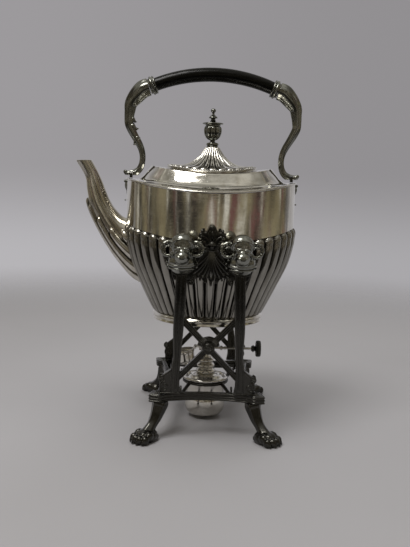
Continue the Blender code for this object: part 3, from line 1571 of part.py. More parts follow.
def centre_on_origin(root):
    """Moves everything along X so that its box is centred, and keeps the feet on z = 0."""
    bpy.context.view_layer.update()
    graph = bpy.context.evaluated_depsgraph_get()
    places = []
    for obj in PARTS.objects:
        if obj.type != "EMPTY":
            solid = obj.evaluated_get(graph)
            places += [(solid.matrix_world @ Vector(corner)).x for corner in solid.bound_box]
    root.location.x = -(min(places) + max(places)) / 2
    bpy.context.view_layer.update()


def main():
    start_scene()
    root = place("spirit_kettle_root", None)
    build_kettle(root)
    build_stand(root)
    build_lamp(root)
    centre_on_origin(root)
    for name in ("kettle_tilt", "lid_hinge", "handle_swing", "lamp_lift", "wick_slide", "winder_turn", "cap_hinge"):
        at = bpy.data.objects[name].matrix_world.translation
        print(name, [round(value, 6) for value in at])


main()
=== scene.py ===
"""Looks of a silver-plated tilting kettle on its stand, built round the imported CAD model.

Metres, +Z up, in the CAD model's own frame: the spout points to -X and the front of the stand faces -Y.
Each operator builds one piece or one group of like pieces, and the panel in the sidebar lists them.
"""

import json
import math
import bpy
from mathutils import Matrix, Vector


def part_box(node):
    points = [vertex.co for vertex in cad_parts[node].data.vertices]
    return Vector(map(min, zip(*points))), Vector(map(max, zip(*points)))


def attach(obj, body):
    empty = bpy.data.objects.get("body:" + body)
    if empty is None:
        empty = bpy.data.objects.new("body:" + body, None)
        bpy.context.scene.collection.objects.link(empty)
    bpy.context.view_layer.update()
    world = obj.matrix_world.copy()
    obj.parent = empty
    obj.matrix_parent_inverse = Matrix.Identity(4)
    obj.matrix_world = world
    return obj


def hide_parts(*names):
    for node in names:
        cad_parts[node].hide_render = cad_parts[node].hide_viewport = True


bl_info = {
    "name": "Tilting Spirit Kettle",
    "version": (1, 0, 0),
    "blender": (4, 5, 0),
    "location": "3D View > Sidebar > Spirit Kettle",
    "description": "Builds a tilting kettle, its stand, its spirit lamp and the studio round them",
    "category": "Object",
}

import bmesh
import bpy
from mathutils import Matrix, Vector

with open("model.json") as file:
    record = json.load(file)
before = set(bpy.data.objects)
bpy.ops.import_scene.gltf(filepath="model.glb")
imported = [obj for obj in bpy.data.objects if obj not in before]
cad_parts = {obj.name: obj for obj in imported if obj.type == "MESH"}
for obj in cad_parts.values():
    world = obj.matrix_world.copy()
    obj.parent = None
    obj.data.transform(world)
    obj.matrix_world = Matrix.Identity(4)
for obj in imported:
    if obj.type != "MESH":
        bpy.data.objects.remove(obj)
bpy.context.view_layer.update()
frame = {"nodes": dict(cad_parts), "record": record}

SIDES = {"left": -1, "right": 1}
ENDS = {"front": -1, "back": 1}


def middle_of(node):
    """The centre of a CAD node's box."""
    low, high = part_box(node)
    return (low + high) / 2


AXIS_X = middle_of("kettle_body").x
# The gap that touching pieces keep
PLAY = 0.0003
WELD = 0.00001


# Settings


def length(name, description, default):
    """A size in metres."""
    return bpy.props.FloatProperty(
        name=name, description=description, default=default, min=0.0, unit="LENGTH", precision=5
    )


def colour(name, description, default):
    """A scene-linear colour."""
    return bpy.props.FloatVectorProperty(
        name=name, description=description, default=default, size=3, min=0.0, max=1.0, subtype="COLOR"
    )


def share(name, description, default):
    """A number without a unit."""
    return bpy.props.FloatProperty(name=name, description=description, default=default, precision=3)


def count(name, description, default):
    return bpy.props.IntProperty(name=name, description=description, default=default, min=1)


class KettleSettings(bpy.types.PropertyGroup):
    lobes: count("Lobes", "Lobes round the lower body", 44)
    lobe_rise: length("Lobe rise", "How far a lobe stands out of the body", 0.0036)
    lid_reeds: count("Lid reeds", "Reeds round the lid's dome", 28)
    reed_rise: length("Reed rise", "How far a reed stands out of the lid", 0.0018)
    spout_lobe_rise: length("Spout lobe rise", "How far a lobe stands out of the spout", 0.0030)
    bead_radius: length("Bead radius", "Radius of the beads round the lid's rim", 0.0008)
    sheet: length("Sheet", "Thickness of the kettle's sheet metal", 0.0015)


class HandleSettings(bpy.types.PropertyGroup):
    grip_radius: length("Grip radius", "Radius of the grip at its middle", 0.0071)
    grip_height: length("Grip height", "Height of the grip's centre line at its top", 0.3604)
    arm_radius: length("Arm radius", "Radius of an arm at its thick end", 0.0066)
    arm_leaf: share("Leaf depth", "Depth of the leaf folds along an arm, in its own radius", 0.12)


class StandSettings(bpy.types.PropertyGroup):
    thickness: length("Frame thickness", "Thickness of the legs, brackets and braces", 0.007)
    bead: length("Moulding", "Height of the raised edges on the frames", 0.0009)
    voxel: length("Casting detail", "Finest detail in the cast heads and paws", 0.00042)


class LampSettings(bpy.types.PropertyGroup):
    steps: count("Facets", "Steps round the turned pieces of the lamp", 96)
    knurls: count("Knurls", "Ridges round the winder's knob", 22)
    knurl_rise: length("Knurl rise", "How far a ridge stands out of the knob", 0.0007)


class FinishSettings(bpy.types.PropertyGroup):
    silver: colour("Silver", "Clean silver plate", (0.70, 0.68, 0.63))
    # Darker than the clean silver: partly aged plate, partly painted shade and dark reflection of the stand
    # on the lobes
    aged: colour("Aged silver", "Silver plate that has darkened, on the body's lobes", (0.33, 0.32, 0.29))
    # Partly smoky tarnish, partly painted shade and dark reflection
    smoke: colour("Smoky tarnish", "Dark tarnish on the body's lobes and on the lid", (0.13, 0.115, 0.09))
    # Partly warm tarnish, partly painted reflection streaks of the room
    tarnish: colour("Tarnish", "Warm tarnish on the silver plate", (0.30, 0.26, 0.18))
    dark: colour("Dark plate", "Blackened plate on the castings", (0.062, 0.060, 0.054))
    head: colour("Heads", "Plate on the heads, which is brighter than on the legs", (0.30, 0.305, 0.275))
    # Partly plate rubbed bright, partly painted highlights on the castings' edges
    worn_and_highlight: colour("Worn edge", "Plate rubbed bright on the castings' edges", (0.30, 0.30, 0.27))
    ebony: colour("Ebony", "Polished ebony of the grip", (0.0014, 0.0015, 0.0012))
    cotton: colour("Cotton", "Cotton of the wick", (0.72, 0.67, 0.56))


class StudioSettings(bpy.types.PropertyGroup):
    backdrop: colour("Backdrop", "Colour behind the object", (0.468, 0.458, 0.475))
    # Darker than the backdrop: painted falloff of light towards its top
    backdrop_top: colour("Backdrop top", "Colour at the top of the backdrop", (0.335, 0.323, 0.335))
    floor: colour("Floor", "Colour of the floor", (0.40, 0.393, 0.412))
    backdrop_low: colour("Backdrop foot", "Colour where the backdrop meets the floor", (0.430, 0.421, 0.438))
    room: colour("Room", "The darker side of the room, seen only in reflections", (0.040, 0.037, 0.032))
    window: colour("Window", "The lighter streaks of the room, seen only in reflections", (0.62, 0.60, 0.54))
    lamplight: colour("Warm streaks", "Warm things in the room, seen in reflections", (0.27, 0.235, 0.15))
    cloth: colour("Red streaks", "Reddish things in the room, seen only in reflections", (0.17, 0.085, 0.08))
    floor_radius: length("Floor radius", "How far the floor reaches before it fades out", 1.6)
    key_power: share("Key power", "Power of the key light in watts", 6.0)
    fill_power: share("Fill power", "Power of the fill light in watts", 3.0)


SETTINGS = {
    "kettle": KettleSettings,
    "handle": HandleSettings,
    "stand": StandSettings,
    "lamp": LampSettings,
    "finish": FinishSettings,
    "studio": StudioSettings,
}


class SpiritKettleSettings(bpy.types.PropertyGroup):
    kettle: bpy.props.PointerProperty(type=KettleSettings)
    handle: bpy.props.PointerProperty(type=HandleSettings)
    stand: bpy.props.PointerProperty(type=StandSettings)
    lamp: bpy.props.PointerProperty(type=LampSettings)
    finish: bpy.props.PointerProperty(type=FinishSettings)
    studio: bpy.props.PointerProperty(type=StudioSettings)


def settings(group):
    """One group of this scene's settings."""
    return getattr(bpy.context.scene.spirit_kettle, group)


# Node trees


class Value:
    """A number carried by a socket: arithmetic on it adds Math nodes to its tree."""

    def __init__(self, graph, socket):
        self.graph = graph
        self.socket = socket

    def __add__(self, other):
        return self.graph.math("ADD", self, other)

    def __sub__(self, other):
        return self.graph.math("SUBTRACT", self, other)

    def __rsub__(self, other):
        return self.graph.math("SUBTRACT", other, self)

    def __mul__(self, other):
        return self.graph.math("MULTIPLY", self, other)

    def __truediv__(self, other):
        return self.graph.math("DIVIDE", self, other)

    def __pow__(self, other):
        return self.graph.math("POWER", self, other)

    __radd__ = __add__
    __rmul__ = __mul__

    def fraction(self):
        return self.graph.math("FRACT", self)

    def at_least(self, other):
        return self.graph.math("MAXIMUM", self, other)

    def clipped(self):
        """This value held between 0 and 1."""
        return self.graph.math("MINIMUM", self.at_least(0.0), 1.0)

    def ramp(self, low, high):
        """0 below low, 1 above high, and eased in between."""
        node = self.graph.add(
            "ShaderNodeMapRange",
            {"interpolation_type": "SMOOTHSTEP"},
            {"Value": self, "From Min": low, "From Max": high},
        )
        return node["Result"]


class Node:
    """A node whose outputs are read by name or number."""

    def __init__(self, graph, node):
        self.graph = graph
        self.node = node

    def __getitem__(self, key):
        return Value(self.graph, self.node.outputs[key])


class Graph:
    """Adds nodes to one shader or geometry tree."""

    def __init__(self, tree):
        self.tree = tree

    def add(self, kind, options=None, inputs=None):
        """A node from its type, its settings and the values or links of its sockets."""
        node = self.tree.nodes.new(kind)
        for name, value in (options or {}).items():
            setattr(node, name, value)
        for key, value in (inputs or {}).items():
            if isinstance(value, Value):
                self.tree.links.new(value.socket, node.inputs[key])
            else:
                node.inputs[key].default_value = value
        return Node(self, node)

    def math(self, operation, *values):
        return self.add("ShaderNodeMath", {"operation": operation}, dict(enumerate(values)))[0]

    def mix(self, amount, first, second):
        """A colour between two, each an RGB tuple or a socket."""
        colours = [value if isinstance(value, Value) else (*value, 1.0) for value in (first, second)]
        inputs = {"Factor": amount, "A": colours[0], "B": colours[1]}
        node = self.add("ShaderNodeMix", {"data_type": "RGBA"})
        for key, value in inputs.items():
            kind = "VALUE" if key == "Factor" else "RGBA"
            socket = next(s for s in node.node.inputs if s.name == key and s.type == kind)
            if isinstance(value, Value):
                self.tree.links.new(value.socket, socket)
            else:
                socket.default_value = value
        return Value(self, next(s for s in node.node.outputs if s.type == "RGBA"))

    def noise(self, place, scale, detail=4.0, roughness=0.5):
        return self.add(
            "ShaderNodeTexNoise",
            None,
            {"Vector": place, "Scale": scale, "Detail": detail, "Roughness": roughness},
        )[0]

    def feed(self, shader, socket, value):
        self.tree.links.new(value.socket, shader.inputs[socket])

    def bump(self, shader, height, strength, distance):
        """Roughens a shader's normal by a height."""
        inputs = {"Height": height, "Strength": strength, "Distance": distance}
        self.feed(shader, "Normal", self.add("ShaderNodeBump", None, inputs)["Normal"])

    def stretched(self, place, scale):
        """Coordinates scaled by a different factor on each axis."""
        return self.add("ShaderNodeMapping", None, {"Vector": place, "Scale": scale})[0]


def geometry_tree(name, **sizes):
    """A geometry tree with the given inputs, its graph and the node that holds those inputs."""
    tree = bpy.data.node_groups.new(name, "GeometryNodeTree")
    tree.interface.new_socket("Geometry", in_out="INPUT", socket_type="NodeSocketGeometry")
    for label, value in sizes.items():
        kind = "NodeSocketInt" if isinstance(value, int) else "NodeSocketFloat"
        tree.interface.new_socket(label, in_out="INPUT", socket_type=kind).default_value = value
    tree.interface.new_socket("Material", in_out="INPUT", socket_type="NodeSocketMaterial")
    tree.interface.new_socket("Geometry", in_out="OUTPUT", socket_type="NodeSocketGeometry")
    graph = Graph(tree)
    return tree, graph, graph.add("NodeGroupInput")


def end_tree(graph, start, geometry):
    """Realizes the instances, sets the material and ends a geometry tree."""
    real = graph.add("GeometryNodeRealizeInstances", None, {"Geometry": geometry})["Geometry"]
    smooth = graph.add("GeometryNodeSetShadeSmooth", None, {"Geometry": real})["Geometry"]
    inputs = {"Geometry": smooth, "Material": start["Material"]}
    dressed = graph.add("GeometryNodeSetMaterial", None, inputs)["Geometry"]
    graph.add("NodeGroupOutput", None, {"Geometry": dressed})


def reeding_tree():
    """Lifts a surface along its normals into rounded lobes, laid out by three attributes."""
    tree, graph, start = geometry_tree("reeding", Rise=0.001)

    def attribute(name):
        return graph.add("GeometryNodeInputNamedAttribute", None, {"Name": name})["Attribute"]

    across = (attribute("lobe_phase").fraction() * 2.0 - 1.0) * 1.08
    beyond = attribute("lobe_fade")
    roundness = (1.0 - across * across - beyond * beyond).at_least(0.0) ** 0.5
    lift = roundness * attribute("lobe_share") * start["Rise"]
    normal = graph.add("GeometryNodeInputNormal")["Normal"]
    offset = graph.add("ShaderNodeVectorMath", {"operation": "SCALE"}, {0: normal, "Scale": lift})[0]
    moved = graph.add(
        "GeometryNodeSetPosition", None, {"Geometry": start["Geometry"], "Offset": offset}
    )
    end_tree(graph, start, moved["Geometry"])
    return tree


def beading_tree():
    """A round bead on every vertex of a row of points."""
    tree, graph, start = geometry_tree("beading", Radius=0.001, Segments=12)
    bead = graph.add(
        "GeometryNodeMeshUVSphere",
        None,
        {"Segments": start["Segments"], "Rings": 8, "Radius": start["Radius"]},
    )["Mesh"]
    inputs = {"Points": start["Geometry"], "Instance": bead}
    rows = graph.add("GeometryNodeInstanceOnPoints", None, inputs)["Instances"]
    end_tree(graph, start, rows)
    return tree


def through_tree(mesh, tree, finish, **sizes):
    """The plain mesh that a geometry tree makes of a mesh."""
    obj = bpy.data.objects.new("workpiece", mesh)
    bpy.context.scene.collection.objects.link(obj)
    modifier = obj.modifiers.new(tree.name, "NODES")
    modifier.node_group = tree
    for item in tree.interface.items_tree:
        if item.in_out == "INPUT" and item.name in sizes:
            modifier[item.identifier] = sizes[item.name]
        if item.name == "Material":
            modifier[item.identifier] = material(finish)
    return taken_from(obj)


def taken_from(obj):
    """The evaluated mesh of an object, which is then removed."""
    bpy.context.view_layer.update()
    graph = bpy.context.evaluated_depsgraph_get()
    mesh = bpy.data.meshes.new_from_object(obj.evaluated_get(graph))
    bpy.data.objects.remove(obj)
    return mesh


def tree_named(name, make):
    return bpy.data.node_groups.get(name) or make()


# Meshes


def mesh_from(points, faces, name="shape"):
    mesh = bpy.data.meshes.new(name)
    mesh.from_pydata([tuple(point) for point in points], [], faces)
    mesh.update()
    return mesh


def cleaned(mesh):
    """Merges the doubles of a closed mesh and turns its faces outwards."""
    bm = bmesh.new()
    bm.from_mesh(mesh)
    bmesh.ops.remove_doubles(bm, verts=bm.verts, dist=WELD)
    bmesh.ops.recalc_face_normals(bm, faces=bm.faces)
    bm.to_mesh(mesh)
    bm.free()
    mesh.shade_smooth()
    return mesh


def lofted(rings, looped=False, capped=True, attributes=None):
    """Faces over rings of as many points each, with values for each point kept as attributes."""
    width = len(rings[0])
    points = [point for ring in rings for point in ring]
    faces = []
    last = len(rings) if looped else len(rings) - 1
    for i in range(last):
        here, below = i * width, (i + 1) % len(rings) * width
        for k in range(width):
            right = (k + 1) % width
            faces.append((here + k, below + k, below + right, here + right))
    if capped and not looped:
        faces.append(tuple(range(width)))
        foot = (len(rings) - 1) * width
        faces.append(tuple(reversed(range(foot, foot + width))))
    mesh = mesh_from(points, faces)
    for name, values in (attributes or {}).items():
        layer = mesh.attributes.new(name, "FLOAT", "POINT")
        layer.data.foreach_set("value", [value for ring in values for value in ring])
    mesh.shade_smooth()
    return mesh


def turned_rings(profile, steps):
    """Rings of points about Z from a profile of radius and height."""
    turn = 2 * math.pi / steps
    return [
        [Vector((radius * math.cos(turn * k), radius * math.sin(turn * k), height)) for k in range(steps)]
        for radius, height in profile
    ]


def turned(profile, steps, looped=False):
    """A closed solid of revolution about Z."""
    return cleaned(lofted(turned_rings(profile, steps), looped=looped))


def rounded(profile, reach, looped=False):
    """A profile whose corners are cut to small arcs that begin at most this far from the corner."""
    points = [Vector(point) for point in profile]
    result = []
    for i, point in enumerate(points):
        if not looped and i in (0, len(points) - 1):
            result.append(tuple(point))
            continue
        before, after = points[i - 1], points[(i + 1) % len(points)]
        into, out = before - point, after - point
        if into.length < WELD or out.length < WELD:
            continue
        first = point + into.normalized() * min(reach, into.length * 0.4)
        last = point + out.normalized() * min(reach, out.length * 0.4)
        for t in (0.0, 0.33, 0.67, 1.0):
            blend = first * (1 - t) ** 2 + point * (2 * t * (1 - t)) + last * t**2
            result.append(tuple(blend))
    return result


def curve_through(points, steps):
    """A smooth path through points, each of which may have more than three values."""
    rows = [tuple(point) for point in points]
    result = []
    for i in range(len(rows) - 1):
        around = [rows[max(i - 1, 0)], rows[i], rows[i + 1], rows[min(i + 2, len(rows) - 1)]]
        for k in range(steps):
            t = k / steps
            result.append(tuple(spline_value(column, t) for column in zip(*around)))
    result.append(rows[-1])
    return result


def spline_value(values, t):
    """A Catmull-Rom spline through the two middle values."""
    before, start, end, after = values
    slope = end - before
    bow = 2 * before - 5 * start + 4 * end - after
    twist = 3 * start - before - 3 * end + after
    return (2 * start + slope * t + bow * t**2 + twist * t**3) / 2


def read_table(table, share_along):
    """Reads a row off a table whose first column rises."""
    for low, high in zip(table, table[1:]):
        if low[0] <= share_along <= high[0]:
            part = (share_along - low[0]) / (high[0] - low[0])
            return tuple(a + (b - a) * part for a, b in zip(low, high))
    return table[-1] if share_along > table[-1][0] else table[0]


def tube(path, section, side=Vector((0, 1, 0)), closed=False):
    """A bar along a path. The section gives offsets across and along the side for each station."""
    rings = []
    total = len(path)
    for i, point in enumerate(path):
        before = path[i - 1] if closed or i else path[i]
        after = path[(i + 1) % total] if closed or i < total - 1 else path[i]
        ahead = (Vector(after) - Vector(before)).normalized()
        level = (side - ahead * side.dot(ahead)).normalized()
        across = ahead.cross(level)
        where = i / (total if closed else total - 1)
        rings.append([Vector(point) + across * u + level * v for u, v in section(where)])
    return cleaned(lofted(rings, looped=closed))


def round_section(radius, steps=20, flat=1.0):
    """A round section, the same all along or from a function of the share of the way."""

    def section(where):
        r = radius(where) if callable(radius) else radius
        turn = 2 * math.pi / steps
        return [(r * math.cos(turn * k), r * flat * math.sin(turn * k)) for k in range(steps)]

    return section


def ball(middle, radii, turn=None, steps=28):
    """An ellipsoid, turned about its own middle."""
    bm = bmesh.new()
    bmesh.ops.create_uvsphere(bm, u_segments=steps, v_segments=steps // 2, radius=1.0)
    bmesh.ops.scale(bm, vec=Vector(radii), verts=bm.verts)
    if turn:
        bmesh.ops.transform(bm, matrix=turn, verts=bm.verts)
    bmesh.ops.translate(bm, vec=Vector(middle), verts=bm.verts)
    mesh = bpy.data.meshes.new("ball")
    bm.to_mesh(mesh)
    bm.free()
    mesh.shade_smooth()
    return mesh


def block(low, high):
    bm = bmesh.new()
    bmesh.ops.create_cube(bm, size=1.0)
    low, high = Vector(low), Vector(high)
    bmesh.ops.scale(bm, vec=high - low, verts=bm.verts)
    bmesh.ops.translate(bm, vec=(high + low) / 2, verts=bm.verts)
    mesh = bpy.data.meshes.new("block")
    bm.to_mesh(mesh)
    bm.free()
    return mesh


def rod(radius, start, end, steps=32, bevel=0.0):
    """A round bar between two points, with softened ends."""
    start, end = Vector(start), Vector(end)
    span = (end - start).length
    profile = [(0.0, 0.0), (radius, 0.0), (radius, span), (0.0, span)]
    mesh = turned(rounded(profile, bevel) if bevel else profile, steps)
    aim = (end - start).to_track_quat("Z", "Y").to_matrix().to_4x4()
    mesh.transform(Matrix.Translation(start) @ aim)
    return mesh


def moved(mesh, by):
    mesh.transform(Matrix.Translation(Vector(by)))
    return mesh


def flipped(mesh, axis=(1, 0, 0)):
    """A copy mirrored across the plane through the origin square to an axis."""
    copy = mesh.copy()
    copy.transform(Matrix.Scale(-1, 4, Vector(axis)))
    copy.flip_normals()
    return copy


def joined(meshes):
    """One mesh that holds several, left apart."""
    bm = bmesh.new()
    for mesh in meshes:
        bm.from_mesh(mesh)
    result = bpy.data.meshes.new("joined")
    bm.to_mesh(result)
    bm.free()
    result.shade_smooth()
    return result


def workpiece(mesh):
    obj = bpy.data.objects.new("workpiece", mesh)
    bpy.context.scene.collection.objects.link(obj)
    return obj


def cut(mesh, cutters, operation="DIFFERENCE"):
    """Booleans a closed mesh with others."""
    base = workpiece(mesh)
    others = []
    for cutter in cutters:
        other = workpiece(cutter)
        modifier = base.modifiers.new("cut", "BOOLEAN")
        modifier.object = other
        modifier.operation = operation
        modifier.solver = "EXACT"
        others.append(other)
    result = taken_from(base)
    for other in others:
        bpy.data.objects.remove(other)
    return result


def cast(meshes, voxel, passes=4, keep=0.0):
    """Fuses overlapping solids into one smooth casting, thinned out by the collapse share."""
    obj = workpiece(joined(meshes))
    remesh = obj.modifiers.new("fuse", "REMESH")
    remesh.mode = "VOXEL"
    remesh.voxel_size = voxel
    remesh.use_smooth_shade = True
    relax = obj.modifiers.new("relax", "CORRECTIVE_SMOOTH")
    relax.use_only_smooth = True
    relax.factor = 0.5
    relax.iterations = passes
    if keep:
        thin = obj.modifiers.new("thin", "DECIMATE")
        thin.ratio = keep
    mesh = taken_from(obj)
    mesh.shade_smooth()
    return mesh


def extruded(points, thickness, bevel=0.0, holes=(), segments=3):
    """An outline in XZ given a thickness along Y, with rounded edges."""
    curve = bpy.data.curves.new("outline", "CURVE")
    curve.dimensions = "2D"
    curve.fill_mode = "BOTH"
    curve.extrude = thickness / 2 - bevel
    curve.bevel_depth = bevel
    curve.bevel_resolution = segments
    curve.offset = -bevel
    for loop in (points, *holes):
        spline = curve.splines.new("POLY")
        spline.points.add(len(loop) - 1)
        for slot, (x, y) in zip(spline.points, loop):
            slot.co = (x, y, 0, 1)
        spline.use_cyclic_u = True
    mesh = taken_from(workpiece(curve))
    mesh.transform(Matrix.Rotation(math.pi / 2, 4, "X"))
    return cleaned(mesh)


def piece(name, mesh, finish, body, *nodes, crease=40.0):
    """Adds a mesh made about the kettle's axis: it rides on a body and stands for CAD nodes."""
    mesh.transform(Matrix.Translation((AXIS_X, 0, 0)))
    obj = bpy.data.objects.new(name, mesh)
    bpy.context.scene.collection.objects.link(obj)
    mesh.materials.clear()
    mesh.materials.append(material(finish))
    mesh.shade_smooth()
    if crease:
        mesh.set_sharp_from_angle(angle=math.radians(crease))
    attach(obj, body)
    FINISHES[finish].slot
    if nodes:
        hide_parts(*nodes)
    return obj


# Finishes


class Plate:
    """How one plated metal looks: its colours and how far it is polished, soiled and worn, with painted shade
    in hollows and grooves, painted highlights on edges and painted reflection streaks.
    """

    def __init__(
        self, slot, clean, tarnish, gloss, cloud=0.5, hollow_shade_and_grime=0.7, edge_wear_and_highlight=0.0, relief=1.0, shut_in_reach=0.004
    ):
        self.slot = slot
        self.clean = clean
        self.tarnish = tarnish
        self.gloss = gloss
        self.cloud = cloud
        self.hollow_shade_and_grime = hollow_shade_and_grime
        self.edge_wear_and_highlight = edge_wear_and_highlight
        self.relief = relief
        self.shut_in_reach = shut_in_reach

    def build(self, graph, shader):
        finish = settings("finish")
        clean, tarnish = tuple(getattr(finish, self.clean)), tuple(getattr(finish, self.tarnish))
        place = graph.add("ShaderNodeTexCoord")["Object"]
        clouds = graph.noise(place, 34.0, 5.0, 0.62).ramp(0.36, 0.68)
        # Vertical streaks, partly tarnish and partly painted reflection of the room
        streaks_and_reflection = graph.noise(graph.stretched(place, (95.0, 95.0, 16.0)), 1.0, 4.0, 0.6).ramp(0.42, 0.66)
        bloom = graph.noise(place, 150.0, 4.0, 0.6).ramp(0.46, 0.72)
        specks = graph.noise(place, 900.0, 2.0, 0.5).ramp(0.64, 0.76)
        hairs = graph.noise(graph.stretched(place, (90.0, 90.0, 1500.0)), 1.0, 3.0).ramp(0.42, 0.7)
        # Painted shade in hollows, by how shut in a point is; the same measure also roughens the hollows as
        # grime
        hollow = self.shut_in(graph, False).ramp(0.12, 0.75)
        # Clouds and streaks blend the clean colour towards the second colour: partly tarnish, partly painted
        # reflection of the room
        colour_now = graph.mix((clouds * 0.6 + streaks_and_reflection * 0.6).clipped() * self.cloud, clean, tarnish)
        # A near-black for the painted shade in hollows and grooves, and for the pits
        shade_and_speck_dark = tuple(channel * 0.12 for channel in tarnish)
        # Painted shade along the grooves between lobes
        groove = graph.add("ShaderNodeAttribute", {"attribute_name": "groove"})["Fac"]
        colour_now = graph.mix((hollow * self.hollow_shade_and_grime + groove * 0.85).clipped(), colour_now, shade_and_speck_dark)
        colour_now = graph.mix(specks * 0.35 * self.cloud, colour_now, shade_and_speck_dark)
        # Brighter edges: partly plate rubbed through, partly painted highlights
        if self.edge_wear_and_highlight:
            edge = self.shut_in(graph, True).ramp(0.1, 0.6) * (0.35 + 0.65 * bloom) * self.edge_wear_and_highlight
            colour_now = graph.mix(edge, colour_now, tuple(finish.worn_and_highlight))
        graph.feed(shader, "Base Color", colour_now)
        soil = clouds * 0.10 * self.cloud + bloom * 0.07 + hollow * 0.25 * self.hollow_shade_and_grime
        graph.feed(shader, "Roughness", (self.gloss + soil + hairs * 0.03).clipped())
        shader.inputs["Metallic"].default_value = 1.0
        dents = graph.noise(place, 22.0, 2.0, 0.4) * 0.7
        pits = graph.noise(place, 260.0, 3.0, 0.6) * 0.03 + specks * 0.02
        graph.bump(shader, dents + pits + hairs * 0.008, 0.5, 0.0016 * self.relief)

    def shut_in(self, graph, inside):
        """How far a point is shut in by its own piece, which sets the painted shade in hollows, or from
        within: how near it is to an edge, which sets the worn edges and their painted highlights.
        """
        reach = self.shut_in_reach * (0.3 if inside else 1.0)
        node = graph.add(
            "ShaderNodeAmbientOcclusion",
            {"samples": 6, "only_local": True, "inside": inside},
            {"Distance": reach},
        )
        return 1.0 - node["AO"]


class Ebony:
    """Dark wood with a fine grain along X under a worn polish."""

    slot = "ebony"

    def build(self, graph, shader):
        dark = tuple(settings("finish").ebony)
        place = graph.add("ShaderNodeTexCoord")["Object"]
        grain = graph.noise(graph.stretched(place, (40.0, 700.0, 700.0)), 1.0, 4.0, 0.6).ramp(0.4, 0.7)
        rubbed = graph.noise(place, 60.0, 3.0, 0.6).ramp(0.45, 0.7)
        brown = tuple(channel * 2.6 + add for channel, add in zip(dark, (0.0022, 0.0012, 0.0)))
        graph.feed(shader, "Base Color", graph.mix(grain * 0.6, dark, brown))
        graph.feed(shader, "Roughness", (0.20 + grain * 0.08 + rubbed * 0.08).clipped())
        shader.inputs["Specular IOR Level"].default_value = 0.18
        graph.bump(shader, grain * 0.2 + rubbed * 0.4, 0.4, 0.0004)


class Cotton:
    """Plaited cotton, charred at the top of the wick."""

    slot = "wick_cotton"

    def build(self, graph, shader):
        pale = tuple(settings("finish").cotton)
        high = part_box("wick")[1]
        place = graph.add("ShaderNodeTexCoord")["Object"]
        centred = graph.add("ShaderNodeMapping", None, {"Vector": place, "Location": (-AXIS_X, 0.0, 0.0)})[0]
        strands = graph.add(
            "ShaderNodeTexWave",
            {"bands_direction": "DIAGONAL"},
            {"Vector": centred, "Scale": 420.0, "Distortion": 1.5},
        )["Fac"]
        height = graph.add("ShaderNodeSeparateXYZ", None, {"Vector": place})["Z"]
        char = height.ramp(high.z - 0.0022, high.z - 0.0004)
        colour_now = graph.mix(strands * 0.5, pale, tuple(channel * 0.6 for channel in pale))
        graph.feed(shader, "Base Color", graph.mix(char, colour_now, (0.02, 0.018, 0.016)))
        shader.inputs["Roughness"].default_value = 0.95
        graph.bump(shader, strands, 0.6, 0.0003)


# Slot, clean colour, tarnish and reflection colour, gloss, clouds and streaks, painted hollow shade and
# grime, edge wear and painted highlight, relief, and how far hollows and edges reach
FINISHES = {
    "mirror_silver": Plate("silver_plate", "silver", "tarnish", 0.055, 0.42, 0.5, 0.0, 0.55, 0.006),
    # The lobes' darker colours are partly tarnish, partly painted shade and dark reflection of the stand
    "lobed_silver": Plate("silver_plate", "aged", "smoke", 0.12, 0.5, 0.9, 0.0, 0.5, 0.0055),
    "lid_silver": Plate("silver_plate", "silver", "smoke", 0.13, 0.5, 0.85, 0.0, 0.5, 0.003),
    "spout_silver": Plate("silver_plate", "silver", "tarnish", 0.10, 0.6, 0.85, 0.0, 0.5, 0.0055),
    "brushed_silver": Plate("silver_plate", "silver", "tarnish", 0.20, 0.6, 0.7, 0.0, 0.7, 0.005),
    "dark_plate": Plate("dark_plate", "dark", "dark", 0.17, 0.35, 0.7, 0.65, 1.0, 0.002),
    "head_plate": Plate("dark_plate", "head", "dark", 0.13, 0.4, 0.95, 0.5, 0.6, 0.003),
    "arm_plate": Plate("dark_plate", "head", "dark", 0.09, 0.75, 0.8, 0.15, 0.6, 0.003),
    "lamp_plate": Plate("lamp_plate", "silver", "tarnish", 0.09, 0.25, 0.45, 0.0, 0.5, 0.002),
    "ebony": Ebony(),
    "wick_cotton": Cotton(),
}


def material(name):
    """The named finish, made on its first use under a name that no slot of the frame has."""
    made = bpy.data.materials.get("dressed_" + name)
    if made:
        return made
    made = bpy.data.materials.new("dressed_" + name)
    made.use_nodes = True
    shader = made.node_tree.nodes["Principled BSDF"]
    FINISHES[name].build(Graph(made.node_tree), shader)
    return made


# Kettle


BODY_FLOOR = 0.1163
BEAD_LINE = 0.1937
SHOULDER_LINE = 0.2397
BODY_HALF_LENGTH = 0.0875
BODY_HALF_DEPTH = 0.0757
BEAD_SHEER = 0.013
SHOULDER_SHEER = 0.0117
# Height share, length share and lobe share, from the bead line down to the floor
LOBED_ROWS = (
    (1.0, 0.989, 1.06),
    (0.955, 0.986, 1.1),
    (0.9, 0.982, 0.96),
    (0.82, 0.972, 0.92),
    (0.62, 0.913, 0.9),
    (0.37, 0.798, 0.8),
    (0.09, 0.675, 0.62),
    (0.0, 0.634, 0.5),
)
LOBE_TOP_SHARE = 0.075
LOBE_FOOT_SHARE = 0.03
COLUMNS_A_LOBE = 10
STRAINER_ROWS = ((0, 0), (1, 0), (-1, 0), (0.5, 1), (-0.5, 1), (0.5, -1), (-0.5, -1))
STRAINER_PITCH = 0.0085
# How far apart the strainer's columns of holes stand, as a share of the pitch
STRAINER_STAGGER = 0.866
STRAINER_HEIGHT = 0.178
STRAINER_HOLE = 0.0026

COLLAR_RISE = 0.0189
SHOULDER_DEPTH_LOSS = 0.0118
COLLAR_CORNER = 0.05
